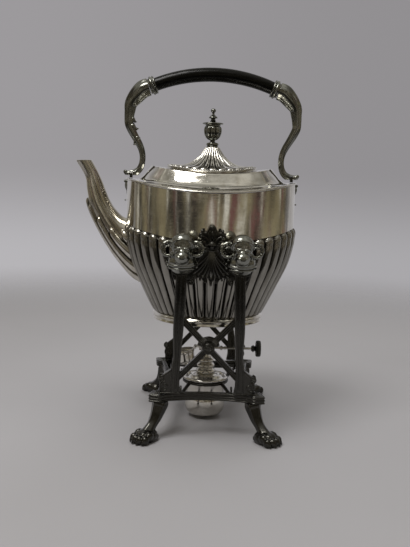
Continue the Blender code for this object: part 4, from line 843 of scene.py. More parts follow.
# Length, rise, sheer and corner shares of the shoulder, from its lip up to the lid's seat
SHOULDER_ROWS = (
    (1.0, -0.004, 1.0, 0.0),
    (1.009, 0.004, 1.0, 0.0),
    (1.014, 0.045, 1.0, 0.0),
    (1.010, 0.085, 1.0, 0.0),
    (1.0, 0.1, 1.0, 0.0),
    (0.993, 0.09, 0.99, 0.0),
    (0.985, 0.115, 0.97, 0.0),
    (0.937, 0.153, 0.855, 0.0),
    (0.869, 0.27, 0.667, 0.3),
    (0.817, 0.407, 0.675, 0.6),
    (0.766, 0.683, 0.684, 0.9),
    (0.7246, 0.926, 0.684, 1.0),
    (0.7154, 1.0, 0.667, 1.0),
)

LID_SEAT = 0.2590
LID_HALF_LENGTH = 0.047
LID_HALF_DEPTH = 0.044
LID_SHEER = 0.0058
LID_RISE = 0.0216
LID_TOP_RADIUS = 0.007
LID_PLATE = 0.0011
# Length share, rise share and reed share, from the rim up
LID_ROWS = (
    (0.985, 0.0, 0.0),
    (1.0, 0.02, 0.0),
    (1.0, 0.05, 0.0),
    (0.985, 0.07, 0.0),
    (0.95, 0.06, 0.0),
    (0.925, 0.08, 1.0),
    (0.85, 0.115, 1.0),
    (0.6, 0.215, 0.95),
    (0.42, 0.4, 0.8),
    (0.27, 0.66, 0.6),
    (0.149, 0.985, 0.35),
)
REED_END = 0.945
LID_BEAD_SHARE = 0.967
LID_BEAD_PITCH = 0.0019

# Height and radius shares of the finial, from its tip down
FINIAL_ROWS = (
    (1.0, 0.0),
    (0.985, 0.15),
    (0.955, 0.24),
    (0.915, 0.24),
    (0.885, 0.13),
    (0.85, 0.12),
    (0.835, 0.17),
    (0.79, 0.34),
    (0.765, 0.42),
    (0.745, 0.40),
    (0.735, 0.24),
    (0.705, 0.22),
    (0.66, 0.36),
    (0.635, 0.62),
    (0.622, 0.98),
    (0.60, 1.0),
    (0.585, 0.92),
    (0.575, 0.76),
    (0.545, 0.72),
    (0.50, 0.79),
    (0.42, 0.79),
    (0.33, 0.72),
    (0.25, 0.56),
    (0.19, 0.32),
    (0.165, 0.24),
    (0.14, 0.3),
    (0.115, 0.55),
    (0.09, 0.6),
    (0.06, 0.6),
    (0.05, 0.5),
    (0.03, 0.56),
    (0.0, 0.56),
)
FINIAL_LOBES = 10


def oval(half_length, half_depth, height, sheer, count, corner=0.0):
    """A ring round the kettle's axis that climbs towards its two ends, with corners on its diagonals."""
    ring = []
    for k in range(count):
        angle = 2 * math.pi * k / count
        along, across = math.cos(angle), math.sin(angle)
        quarter = math.pi / 2
        crease = (1 - abs((angle % quarter) / quarter * 2 - 1)) ** 2
        spread = 1 + corner * crease
        ring.append(
            Vector((half_length * along * spread, half_depth * across * spread, height + sheer * along**2))
        )
    return ring


def body_level(height_share, length_share, inset, count):
    """One ring of the lobed part of the body."""
    half_length = BODY_HALF_LENGTH * length_share - inset
    narrowing = BODY_HALF_LENGTH - BODY_HALF_DEPTH
    height = BODY_FLOOR + (BEAD_LINE - BODY_FLOOR) * height_share
    return oval(
        half_length, half_length - narrowing * height_share, height, BEAD_SHEER * height_share**2, count
    )


def band_level(climb, inset, count, swell=0.0):
    """One ring of the plain band, from the bead line at 0 to the rim at 1."""
    half_length = BODY_HALF_LENGTH - inset + swell
    height = BEAD_LINE + (SHOULDER_LINE - PLAY - BEAD_LINE) * climb
    sheer = BEAD_SHEER + (SHOULDER_SHEER - BEAD_SHEER) * climb
    narrowing = BODY_HALF_LENGTH - BODY_HALF_DEPTH
    return oval(half_length, half_length - narrowing, height, sheer, count)


def lobe_fade(height_share):
    """0 along a lobe, and up to 1 at its rounded top and foot."""
    top = (height_share - 1 + LOBE_TOP_SHARE) / LOBE_TOP_SHARE
    foot = (LOBE_FOOT_SHARE - height_share) / LOBE_FOOT_SHARE
    return max(top, foot, 0.0)


def body_shell(columns):
    """The outer rings of the body from its rim down, with each ring's lobe values."""
    rings, fades, shares = [], [], []
    for climb in (1.0, 0.8, 0.6, 0.4, 0.2, 0.05, 0.0):
        rings.append(band_level(climb, 0.0, columns))
        fades.append(2.0)
        shares.append(0.0)
    table = sorted(LOBED_ROWS)
    levels = [1.0 - 0.004 * k for k in range(20)] + [0.92 - 0.02 * k for k in range(46)]
    levels += [0.012, 0.006, 0.0]
    smooth_rows = curve_through(table, 8)
    for level in levels:
        _, length_share, lobe_share = read_table(smooth_rows, level)
        rings.append(body_level(level, length_share, 0.0, columns))
        fades.append(lobe_fade(level))
        shares.append(lobe_share)
    return rings, fades, shares


class KETTLE_OT_body(bpy.types.Operator):
    """Build the lobed body and its foot ring"""

    bl_idname = "kettle.body"
    bl_label = "Kettle body"

    def execute(self, context):
        kettle = settings("kettle")
        columns = kettle.lobes * COLUMNS_A_LOBE
        shell, fades, shares = body_shell(columns)
        floor_share = LOBED_ROWS[-1][1]
        sheet = kettle.sheet
        under = [body_level(0.0, floor_share * part, 0.0, columns) for part in (0.93, 0.6, 0.02)]
        for ring in under:
            for point in ring:
                point.z = BODY_FLOOR
        inside = []
        for level, length_share, _ in LOBED_ROWS[1:-1]:
            inside.append(body_level(level, length_share, sheet, columns))
        floor = [[point + Vector((0, 0, sheet)) for point in ring] for ring in reversed(under)]
        bands = [band_level(0.5, sheet, columns), band_level(1.0, sheet, columns)]
        lining = floor + list(reversed(inside)) + bands
        rings = lining + shell + under
        plain = len(lining)
        fades = [2.0] * plain + fades + [2.0] * len(under)
        shares = [0.0] * plain + shares + [0.0] * len(under)
        attributes = even_lobes(COLUMNS_A_LOBE, columns, fades, shares)
        mesh = reeded(rings, attributes, "lobed_silver", kettle.lobe_rise)
        holes = []
        for row, column in STRAINER_ROWS:
            place = (STRAINER_PITCH * column * STRAINER_STAGGER, STRAINER_HEIGHT + STRAINER_PITCH * row)
            start = (-BODY_HALF_LENGTH * 1.1, *place)
            end = (-BODY_HALF_LENGTH * 0.6, *place)
            holes.append(rod(STRAINER_HOLE, start, end, 16))
        mesh = cut(mesh, holes)
        body = piece("body_shell", mesh, "lobed_silver", "kettle", "kettle_body", crease=50.0)
        add_second_finish(body, "mirror_silver", is_band)
        self.foot_ring()
        return {"FINISHED"}

    def foot_ring(self):
        low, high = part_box("foot_ring")
        outer = (high.x - low.x) / 2
        height = high.z - low.z
        shares = (
            (0.957, 1.0),
            (0.972, 0.86),
            (0.985, 0.74),
            (1.0, 0.66),
            (1.0, 0.56),
            (0.982, 0.47),
            (0.975, 0.36),
            (0.985, 0.2),
            (0.995, 0.06),
            (0.985, 0.0),
            (0.885, 0.0),
            (0.875, 0.08),
            (0.872, 1.0),
        )
        profile = [(outer * r, low.z + height * h) for r, h in shares]
        mesh = turned(rounded(profile, 0.0005, looped=True), 144, looped=True)
        piece("foot_moulding", mesh, "mirror_silver", "kettle", "foot_ring")


def even_lobes(columns_each, columns, fades, shares, shift=0.5):
    """Lobe attributes where all lobes are alike and each ring fades as one."""
    phases = [k / columns_each + shift for k in range(columns)]
    return lobe_attributes(phases, [[fade] * columns for fade in fades], shares)


def lobe_attributes(phases, fades, shares):
    """What the reeding tree and the finishes read, from each point's phase and fade and each ring's share."""
    names = ("lobe_phase", "lobe_fade", "lobe_share", "groove")
    values = {name: [] for name in names}
    for fade_row, ring_share in zip(fades, shares):
        groove_shades = []
        for phase, fade in zip(phases, fade_row):
            across = abs(phase % 1 * 2 - 1)
            edge = max((across - 0.5) / 0.5, 0.0) ** 1.3
            # Painted shade along the grooves between lobes, which the finishes darken
            groove_shades.append(edge * (ring_share > 0) * max(1.0 - max(fade - 1.0, 0.0) / 0.3, 0.0))
        for name, row in zip(names, (phases, fade_row, [ring_share] * len(fade_row), groove_shades)):
            values[name].append(row)
    return values


def reeded(rings, attributes, finish, rise, looped=False):
    """A lofted shell with its lobes raised."""
    mesh = cleaned(lofted(rings, looped=looped, capped=False, attributes=attributes))
    return through_tree(mesh, tree_named("reeding", reeding_tree), finish, Rise=rise)


def is_band(middle):
    """Whether a face's middle lies on the plain band or inside the body."""
    x, y = middle.x - AXIS_X, middle.y
    along = (x / BODY_HALF_LENGTH) ** 2
    line = BEAD_LINE + BEAD_SHEER * min(along, 1.0)
    reach = (x / BODY_HALF_LENGTH) ** 2 + (y / BODY_HALF_DEPTH) ** 2
    return middle.z > line - 0.0002 and reach > 0.9


def add_second_finish(obj, finish, test):
    """Gives the faces that pass a test another finish."""
    mesh = obj.data
    mesh.materials.append(material(finish))
    for face in mesh.polygons:
        if test(face.center):
            face.material_index = 1


class KETTLE_OT_shoulder(bpy.types.Operator):
    """Build the shoulder with its collar and the seat of the lid"""

    bl_idname = "kettle.shoulder"
    bl_label = "Shoulder"

    def execute(self, context):
        sheet = settings("kettle").sheet
        columns = 176

        def level(row, inset):
            length_share, rise, sheer, corner = row
            half_length = BODY_HALF_LENGTH * length_share - inset
            height = SHOULDER_LINE + COLLAR_RISE * rise - inset
            return oval(
                half_length,
                half_length - SHOULDER_DEPTH_LOSS,
                height,
                SHOULDER_SHEER * sheer,
                columns,
                COLLAR_CORNER * corner,
            )

        def seat(inset, height):
            half_length = LID_HALF_LENGTH - inset
            sheer = LID_SHEER * (half_length / LID_HALF_LENGTH) ** 2
            return oval(half_length, LID_HALF_DEPTH - inset, height, sheer, columns)

        outer = [level(row, 0.0) for row in curve_through(SHOULDER_ROWS, 4)]
        lip = 0.002
        flange = [
            seat(-0.0012, LID_SEAT - PLAY),
            seat(lip, LID_SEAT - PLAY),
            seat(lip, LID_SEAT - PLAY - sheet),
        ]
        inner = [level(row, sheet) for row in SHOULDER_ROWS[7:]]
        foot = level((1.0, 0.0, 1.0, 0.0), sheet)
        for point in foot:
            point.z += sheet
        rings = outer + flange + list(reversed(inner)) + [foot]
        mesh = cleaned(lofted(rings, looped=True))
        piece("shoulder_collar", mesh, "mirror_silver", "kettle", "shoulder", crease=32.0)
        return {"FINISHED"}


class KETTLE_OT_lid(bpy.types.Operator):
    """Build the reeded lid, its row of beads, its bezel and its finial"""

    bl_idname = "kettle.lid"
    bl_label = "Lid"

    def execute(self, context):
        kettle = settings("kettle")
        columns = kettle.lid_reeds * 12
        taper = LID_HALF_LENGTH - LID_TOP_RADIUS

        def level(length_share, rise_share, drop=0.0):
            half_length = LID_HALF_LENGTH * length_share
            loss = (LID_HALF_LENGTH - LID_HALF_DEPTH) * max(half_length - LID_TOP_RADIUS, 0.0) / taper
            lift = LID_RISE * rise_share + LID_PLATE - drop + LID_SHEER * (1 - length_share) * rise_share
            sheer = LID_SHEER * length_share**2
            return oval(half_length, half_length - loss, LID_SEAT + lift, sheer, columns)

        rows = curve_through(LID_ROWS, 6)
        outer = [level(LID_ROWS[0][0], 0.0, LID_PLATE)]
        outer += [level(length, rise) for length, rise, _ in rows]
        shares = [0.0] + [max(reed, 0.0) for _, _, reed in rows]
        fades = [2.0] + [max((length - REED_END) / 0.05 + 1, 0.0) for length, _, _ in rows]
        top = [level(part, 0.99 + 0.01 * (1 - part)) for part in (0.1, 0.02)]
        under = [level(length, rise, LID_PLATE * 1.4) for length, rise, _ in LID_ROWS[7:]]
        lining = [level(0.02, 1.0, LID_PLATE * 1.4)] + list(reversed(under)) + [level(0.8, 0.06, LID_PLATE)]
        rings = lining + outer + top
        plain, tip = len(lining), len(top)
        fades = [2.0] * plain + fades + [2.0] * tip
        shares = [0.0] * plain + shares + [0.0] * tip
        attributes = even_lobes(12, columns, fades, shares)
        mesh = reeded(rings, attributes, "lid_silver", kettle.reed_rise)
        beads = self.bead_row(level(LID_BEAD_SHARE, 0.075), kettle.bead_radius)
        piece("lid_dome", joined([mesh, beads]), "lid_silver", "lid", "lid", crease=50.0)
        self.finial()
        return {"FINISHED"}

    def bead_row(self, ring, radius):
        points = evenly_spaced(ring, LID_BEAD_PITCH)
        row = mesh_from(points, [])
        tree = tree_named("beading", beading_tree)
        return through_tree(row, tree, "lid_silver", Radius=radius, Segments=8)

    def finial(self):
        low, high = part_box("finial")
        foot = LID_SEAT + LID_RISE + LID_SHEER + PLAY
        height = high.z - foot
        radius = (high.x - low.x) / 2
        columns = FINIAL_LOBES * 12
        rows = curve_through(FINIAL_ROWS, 4)
        rings, fades = [], []
        for rise, reach in rows:
            reach = max(reach, 0.0)
            rings += turned_rings([(radius * reach, foot + height * rise)], columns)
            fades.append(max(abs(rise - 0.36) / 0.17, 0.0) if 0.16 < rise < 0.56 else 2.0)
        rings += turned_rings([(0.0, foot)], columns)
        fades.append(2.0)
        shares = [1.0 if fade < 1 else 0.0 for fade in fades]
        attributes = even_lobes(12, columns, fades, shares, 0.0)
        mesh = reeded(rings, attributes, "arm_plate", 0.0011)
        piece("finial_urn", mesh, "arm_plate", "lid", "finial", crease=60.0)


def evenly_spaced(loop, pitch):
    """Points at an even pitch round a closed loop."""
    points = [Vector(point) for point in loop]
    points.append(points[0])
    lengths = [(b - a).length for a, b in zip(points, points[1:])]
    total = sum(lengths)
    number = round(total / pitch)
    result, i, walked = [], 0, 0.0
    for k in range(number):
        target = total * k / number
        while walked + lengths[i] < target:
            walked += lengths[i]
            i += 1
        result.append(points[i].lerp(points[i + 1], (target - walked) / lengths[i]))
    return result


# Spout


SPOUT_REACH = 0.0640
SPOUT_SPAN_X = 0.0767
SPOUT_SPAN_Z = 0.1530
SPOUT_ROOT_HALF_WIDTH = 0.019
SPOUT_SHEET = 0.0013
# Upper edge, lower edge and width share, from the root to the mouth
SPOUT_ROWS = (
    (0.156, 0.593, 0.0, 0.175, 1.0),
    (0.261, 0.611, 0.183, 0.22, 0.95),
    (0.372, 0.635, 0.391, 0.331, 0.82),
    (0.463, 0.681, 0.567, 0.456, 0.68),
    (0.535, 0.737, 0.704, 0.576, 0.57),
    (0.593, 0.802, 0.808, 0.691, 0.49),
    (0.651, 0.874, 0.851, 0.795, 0.43),
    (0.711, 0.939, 0.88, 0.893, 0.4),
    (0.781, 1.0, 1.0, 0.995, 0.41),
)
SPOUT_COLUMNS = 240
# Each lobe's angle from the spout's upper edge, and how far along the spout its head lies
SPOUT_LOBES = ((16, 0.0), (44, 0.08), (72, 0.19), (100, 0.33), (128, 0.48), (154, 0.60), (180, 0.66))
LOBE_HEAD_LENGTH = 0.036


def spout_section(row, count, inset=0.0):
    """One oval section of the spout."""
    ux, uz, lx, lz, width = row
    origin = Vector((-SPOUT_REACH, 0, BODY_FLOOR + PLAY))
    upper = origin + Vector((-ux * SPOUT_SPAN_X, 0, uz * SPOUT_SPAN_Z))
    lower = origin + Vector((-lx * SPOUT_SPAN_X, 0, lz * SPOUT_SPAN_Z))
    middle, half = (upper + lower) / 2, (upper - lower) / 2
    half_height = half.length - inset
    half_width = SPOUT_ROOT_HALF_WIDTH * width - inset
    ring = []
    for k in range(count):
        angle = 2 * math.pi * k / count
        ring.append(
            middle
            + half.normalized() * half_height * math.cos(angle)
            + Vector((0, half_width * math.sin(angle), 0))
        )
    return ring


def spout_lobe(angle):
    """The phase of the spout's lobes at an angle from its upper edge, and where the lobe there ends."""
    turned_by = abs((math.degrees(angle) + 180) % 360 - 180)
    first = SPOUT_LOBES[0][0]
    if turned_by <= first:
        return 0.0, 0.0
    table = [(at, number) for number, (at, _) in enumerate(SPOUT_LOBES)]
    for (low, a), (high, b) in zip(table, table[1:]):
        if low <= turned_by <= high:
            phase = a + (b - a) * (turned_by - low) / (high - low)
    number = round(phase)
    if number == 0:
        return 0.0, 0.0
    return phase + 0.5, SPOUT_LOBES[number][1]


class KETTLE_OT_spout(bpy.types.Operator):
    """Build the swan-necked spout"""

    bl_idname = "kettle.spout"
    bl_label = "Spout"

    def execute(self, context):
        kettle = settings("kettle")
        count_round = SPOUT_COLUMNS
        lobes = [spout_lobe(2 * math.pi * k / count_round) for k in range(count_round)]
        rows = curve_through(SPOUT_ROWS, 14)
        total = len(rows) - 1
        outer = [spout_section(row, count_round) for row in rows]
        inner = [spout_section(row, count_round, SPOUT_SHEET) for row in rows[::6]]
        lip = [spout_section(rows[-1], count_round, SPOUT_SHEET * part) for part in (0.0, 0.5, 1.0)]
        for ring, rise in zip(lip, (0.0004, 0.0007, 0.0003)):
            for point in ring:
                point.z += rise
        rings = outer + lip[:2] + list(reversed(inner))
        fades, shares = [], []
        for i in range(len(rings)):
            outside = i < len(outer)
            where = i / total
            row = []
            for _, end in lobes:
                beyond = (where - end) / LOBE_HEAD_LENGTH
                row.append(max(beyond, 0.0) if outside and end else 2.0)
            fades.append(row)
            shares.append(1.0 if outside else 0.0)
        attributes = lobe_attributes([phase for phase, _ in lobes], fades, shares)
        mesh = reeded(rings, attributes, "spout_silver", kettle.spout_lobe_rise, looped=True)
        mesh = cut(mesh, [body_core()])
        piece("spout_neck", mesh, "spout_silver", "kettle", "spout", crease=50.0)
        return {"FINISHED"}


def body_core():
    """The inside of the body as a solid, which trims what is seated on it."""
    count_round = 176
    shell, _, _ = body_shell(count_round)
    top = [Vector((point.x, point.y, SHOULDER_LINE + 0.03)) for point in shell[0]]
    return cleaned(lofted([top] + shell))


# Bail handle


GRIP_HALF_SPAN = 0.062
GRIP_RISE = 0.0125
FERRULE_LENGTH = 0.0075
FERRULE_RADIUS = 0.0098
FERRULE_SOCKET_DEPTH = 0.0028
# Height along the ferrule from its inner end, and radius share
FERRULE_ROWS = (
    (1.0, 0.80),
    (0.96, 0.88),
    (0.88, 0.97),
    (0.80, 0.97),
    (0.72, 0.90),
    (0.66, 0.84),
    (0.60, 0.84),
    (0.55, 0.96),
    (0.47, 1.0),
    (0.36, 1.0),
    (0.28, 0.94),
    (0.22, 0.82),
    (0.0, 0.80),
)
HINGE_HALF_SPAN = 0.0835
HINGE_HEIGHT = 0.257
ARM_RISE = 0.0895
# Across, up and radius shares of the arm, from the ferrule to the curled tip
ARM_ROWS = (
    (0.955, 0.887, 1.27),
    (1.015, 0.805, 1.03),
    (1.030, 0.720, 0.86),
    (1.038, 0.645, 0.75),
    (1.037, 0.572, 0.69),
    (1.001, 0.495, 0.66),
    (0.958, 0.425, 0.60),
    (0.910, 0.349, 0.55),
    (0.876, 0.273, 0.50),
    (0.863, 0.196, 0.47),
    (0.872, 0.118, 0.48),
    (0.903, 0.055, 0.52),
    (0.955, 0.018, 0.56),
    (1.010, 0.008, 0.50),
    (1.050, 0.010, 0.40),
    (1.068, 0.024, 0.38),
    (1.070, 0.036, 0.34),
    (1.068, 0.046, 0.14),
)
EAR_THICKNESS = 0.003
EAR_RADIUS = 0.0025
HINGE_PIN_RADIUS = 0.0011
HINGE_PIN_LENGTH = 0.0105


def grip_bend():
    return (GRIP_HALF_SPAN**2 + GRIP_RISE**2) / (2 * GRIP_RISE)


def grip_place(distance):
    """The point of the grip's arc this far from its middle, and the slope there."""
    bend, height = grip_bend(), settings("handle").grip_height
    angle = distance / bend
    return Vector((bend * math.sin(angle), 0, height - bend * (1 - math.cos(angle)))), angle


def grip_reach():
    return grip_bend() * math.asin(GRIP_HALF_SPAN / grip_bend())


def ferrule_seat(side):
    middle, angle = grip_place(side * (grip_reach() - FERRULE_SOCKET_DEPTH + PLAY))
    return middle, angle, side * Vector((math.cos(angle), 0, -math.sin(angle)))


class KETTLE_OT_handle(bpy.types.Operator):
    """Build the ebony grip, its ferrules and the two scrolled arms"""

    bl_idname = "kettle.handle"
    bl_label = "Bail handle"

    def execute(self, context):
        self.grip()
        for name, side in SIDES.items():
            self.ferrule(name, side)
            self.arm(name, side)
            self.leaf(name, side)
        return {"FINISHED"}

    def grip(self):
        handle = settings("handle")
        half = grip_reach()
        path = [grip_place(half * (k / 40 - 1))[0] for k in range(81)]

        def radius(where):
            swell = 0.93 + 0.07 * math.sin(math.pi * where)
            end = min(where, 1 - where) * 2 * half / 0.0012
            return handle.grip_radius * swell * min(1.0, 0.92 + 0.08 * end)

        mesh = tube(path, round_section(radius, 48))
        piece("grip_bar", mesh, "ebony", "handle", "grip", crease=50.0)

    def ferrule(self, name, side):
        middle, angle, _ = ferrule_seat(side)
        profile = [(FERRULE_RADIUS * r, -FERRULE_LENGTH * (1 - h)) for h, r in FERRULE_ROWS]
        profile = [(0.0, 0.0), (FERRULE_RADIUS * 0.74, 0.0), *profile, (0.0, -FERRULE_LENGTH)]
        mesh = turned(rounded(profile, 0.00025), 72)
        waist = turned_rings([(FERRULE_RADIUS * 0.86, -FERRULE_LENGTH * 0.37)], 120)[0]
        beads = mesh_from(evenly_spaced(waist, 0.0017), [])
        tree = tree_named("beading", beading_tree)
        beads = through_tree(beads, tree, "arm_plate", Radius=0.0007, Segments=8)
        mesh = joined([mesh, beads])
        mesh.transform(Matrix.Rotation(angle - side * math.pi / 2, 4, "Y"))
        piece("ferrule_" + name + "_moulding", moved(mesh, middle), "arm_plate", "handle", "ferrule_" + name)

    def arm(self, name, side):
        handle = settings("handle")
        mouth, _, outwards = ferrule_seat(side)
        start = mouth + outwards * (FERRULE_LENGTH + PLAY)
        first = start + outwards * handle.arm_radius
        rows = [(start.x, start.z, 1.36), (first.x, first.z, 1.40)]
        rows += [(side * HINGE_HALF_SPAN * x, HINGE_HEIGHT + ARM_RISE * z, r) for x, z, r in ARM_ROWS]
        stations = curve_through(rows, 9)
        path = [Vector((x, 0, z)) for x, z, _ in stations]
        radii = [r for _, _, r in stations]
        total = len(stations) - 1

        def section(where):
            share_now = radii[min(round(where * total), total)]
            radius = handle.arm_radius * share_now
            points = []
            for k in range(40):
                angle = 2 * math.pi * k / 40
                fold = 1 - handle.arm_leaf * (0.5 - 0.5 * math.cos(4 * angle)) ** 2
                points.append((radius * fold * math.cos(angle), radius * 0.85 * fold * math.sin(angle)))
            return points

        mesh = joined([tube(path, section), *self.leaf_tips(side, handle.arm_radius)])
        ear_top = HINGE_HEIGHT + EAR_RADIUS + PLAY
        half_slot = EAR_THICKNESS / 2 + PLAY
        middle = side * HINGE_HALF_SPAN
        reach = handle.arm_radius * 2
        slot = block(
            (middle - half_slot, -reach, HINGE_HEIGHT - reach),
            (middle + half_slot, reach, ear_top),
        )
        half_pin = HINGE_PIN_LENGTH / 2 + PLAY
        bore = rod(
            HINGE_PIN_RADIUS + PLAY,
            (middle - half_pin, 0, HINGE_HEIGHT),
            (middle + half_pin, 0, HINGE_HEIGHT),
            20,
        )
        foot = block(
            (-2 * HINGE_HALF_SPAN, -reach, HINGE_HEIGHT - reach * 3),
            (2 * HINGE_HALF_SPAN, reach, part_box("handle_arm_" + name)[0].z),
        )
        mesh = cut(mesh, [slot, bore, foot])
        piece("arm_" + name + "_scroll", mesh, "arm_plate", "handle", "handle_arm_" + name, crease=0)

    def leaf_tips(self, side, radius):
        """The leaf tips that break the arm's outline."""
        tips = []
        # Across and up shares of the root, then of the tip, and width share
        rows = (
            (1.010, 0.560, 0.915, 0.527, 0.55),
            (0.930, 0.430, 0.985, 0.338, 0.50),
            (1.000, 0.640, 0.940, 0.600, 0.35),
            (0.905, 0.400, 0.962, 0.365, 0.40),
        )
        for x0, z0, x1, z1, width in rows:
            root = Vector((side * HINGE_HALF_SPAN * x0, 0, HINGE_HEIGHT + ARM_RISE * z0))
            tip = Vector((side * HINGE_HALF_SPAN * x1, 0, HINGE_HEIGHT + ARM_RISE * z1))
            bow = Vector((0, 0, (tip - root).length * 0.25))
            path = [root + (tip - root) * t - bow * (4 * t * (1 - t)) for t in (k / 12 for k in range(13))]

            def taper(where, width=width):
                return radius * width * max(1 - where**1.6, 0.05)

            tips.append(tube(path, round_section(taper, 16)))
        return tips

    def leaf(self, name, side):
        """The leaf on the body below the lug, with a midrib and folded sides."""
        low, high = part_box("leaf_drop_" + name)
        height, width = high.z - low.z, high.y - low.y
        near = low.x if side > 0 else high.x
        thickness = high.x - low.x
        solids = []
        # Height share, half-width share and how far it stands out in its thickness, from the tip up
        rows = (
            (0.0, 0.05, 0.25),
            (0.10, 0.22, 0.45),
            (0.25, 0.42, 0.65),
            (0.40, 0.50, 0.80),
            (0.50, 0.44, 0.85),
            (0.60, 0.70, 1.15),
            (0.74, 1.0, 1.35),
            (0.86, 0.86, 1.20),
            (1.0, 0.66, 0.9),
        )
        rings = []
        for rise, half, out in curve_through(rows, 5):
            half_width = width / 2 * max(half, 0.03)
            ring = []
            for k in range(32):
                angle = 2 * math.pi * k / 32
                front = max(math.cos(angle), 0.0)
                fold = 1 - 0.30 * abs(math.sin(angle * 2)) ** 1.5
                depth = thickness * 1.4 * out * fold * front - 0.0032
                x = near - AXIS_X + side * depth
                ring.append(Vector((x, half_width * math.sin(angle), low.z + height * rise)))
            rings.append(ring)
        solids.append(cleaned(lofted(rings)))
        for rise in (0.0, 1.0):
            radius = thickness * (0.36 + 0.24 * rise)
            z = low.z + radius + (height - 2 * radius) * rise
            at = (near - AXIS_X + side * radius * 0.7, 0, z)
            solids.append(ball(at, (radius, radius * 1.3, radius), steps=20))
        mesh = cast(solids, 0.0003, passes=2, keep=0.6)
        piece("leaf_" + name, mesh, "arm_plate", "kettle", "leaf_drop_" + name, crease=0)


# Stand


BASE_TOP = 0.044
FRAME_FOOT_REACH = 0.070
FRAME_TOP_REACH = 0.0858
PIVOT_HEIGHT = 0.192
LEG_HEIGHT = 0.1215
LEG_HALF_SPAN = 0.031
# Across and up shares of a leg's inner edge from its top, and of its outer edge from its foot
LEG_INNER = (
    (0.72, 1.0),
    (0.735, 0.82),
    (0.79, 0.54),
    (0.845, 0.35),
    (0.875, 0.18),
    (0.875, 0.06),
    (0.83, 0.0),
)
LEG_OUTER = (
    (1.49, 0.0),
    (1.49, 0.1),
    (1.55, 0.125),
    (1.47, 0.145),
    (1.15, 0.205),
    (1.09, 0.3),
    (1.115, 0.54),
    (1.09, 0.82),
    (1.06, 1.0),
)
BRACE_WIDTH = 0.0052
BRACE_DEPTH = 0.005
BRACE_HEIGHT = 0.0478
BRACE_ANGLE = math.radians(47)
BRACE_BOSS = 0.006
BRACE_BOSS_DEPTH = 0.009
BRACKET_HALF_WIDTH = 0.038
BRACKET_HEIGHT = 0.046
BRACKET_SEAT_SHARE = 0.125
# Across and up shares of the right half of the bracket's outline
BRACKET_EDGE = (
    (0.0, -0.13),
    (0.05, -0.05),
    (0.09, 0.02),
    (0.13, -0.05),
    (0.18, -0.07),
    (0.24, 0.0),
    (0.30, 0.02),
    (0.42, -0.02),
    (0.60, -0.02),
    (0.93, -0.03),
    (0.99, 0.35),
    (0.96, 0.6),
    (0.82, 0.76),
    (0.62, 0.78),
    (0.44, 0.66),
    (0.30, 0.54),
    (0.20, 0.58),
    (0.15, 0.68),
    (0.16, 0.76),
    (0.26, 0.82),
    (0.32, 0.90),
    (0.27, 0.97),
    (0.17, 0.96),
    (0.12, 1.0),
    (0.07, 1.08),
    (0.0, 1.1),
)
# How far the braces reach to each side, and the round hood between them
BRACE_REACH = 0.0318
HOOD_RADIUS = 0.0102
# Radius and height of the brace's boss, as shares of its own
BRACE_BOSS_ROWS = (
    (0.0, 1.0),
    (0.30, 1.0),
    (0.42, 0.86),
    (0.52, 0.80),
    (0.66, 0.96),
    (0.80, 0.96),
    (0.88, 0.80),
    (0.94, 0.84),
    (1.0, 0.70),
    (1.0, 0.0),
)
# Two places across a leg that its middle bead runs halfway between, and the height there
LEG_MIDDLE = (
    (0.72, 1.06, 0.985),
    (0.735, 1.09, 0.82),
    (0.79, 1.115, 0.54),
    (0.85, 1.09, 0.3),
    (0.89, 1.13, 0.04),
)
# The bead that sweeps down from the bracket's waist to its side
BRACKET_SWEEP = ((0.14, 0.64), (0.24, 0.50), (0.40, 0.30), (0.58, 0.17), (0.78, 0.12), (0.97, 0.17))
PIVOT_BORE = 0.0028
HEAD_HALF_SPAN = 0.0275
HEAD_HEIGHT = 0.143
HEAD_SIZE = 0.0105

BASE_THICKNESS = 0.0075
BASE_HALF_LENGTH = 0.057
BASE_HALF_DEPTH = 0.076
BASE_OUTER = (
    (0.0, 0.88),
    (0.35, 0.9),
    (0.68, 0.955),
    (0.8, 1.035),
    (1.0, 1.0),
    (0.97, 0.84),
    (0.86, 0.76),
    (0.79, 0.4),
    (0.77, 0.0),
)
BASE_INNER = (
    (0.0, 0.78),
    (0.35, 0.795),
    (0.63, 0.84),
    (0.665, 0.77),
    (0.645, 0.4),
    (0.63, 0.0),
)
PAW_SIZE = 0.0105
PAW_REACH = (0.058, 0.0835)
PAW_TOP = (0.045, 0.069)
# Along, up and radius shares of the shank, from under the base to the foot
SHANK_ROWS = (
    (0.0, 1.0, 1.0),
    (0.04, 0.92, 1.08),
    (0.1, 0.83, 1.0),
    (0.32, 0.6, 0.80),
    (0.62, 0.4, 0.68),
    (1.0, 0.2, 0.86),
)
SHANK_RADIUS = 0.0076
# Across, ahead and half width of each toe, and ahead, across and up along a claw, in paw sizes
TOE_ROWS = ((-0.72, 0.62, 0.34), (-0.25, 0.86, 0.37), (0.25, 0.86, 0.37), (0.72, 0.62, 0.34))
CLAW_ROWS = ((0.40, 1.02, 0.50), (0.58, 1.04, 0.40), (0.66, 1.05, 0.16), (0.62, 1.05, 0.02))
CARRIER_RADIUS = 0.0245
CARRIER_HEIGHT = 0.0383
CARRIER_WIDTH = 0.0028
CARRIER_THICKNESS = 0.0026
CARRIER_DROP = 0.0042
CARRIER_ARM = 0.0019
CARRIER_ROWS = (
    (0.70, 0.66, 0.0, 1.1),
    (0.82, 0.95, -0.55, 1.0),
    (1.02, 1.42, -1.3, 0.95),
    (1.24, 1.95, -0.9, 0.9),
    (1.5, 2.4, -0.1, 0.8),
)


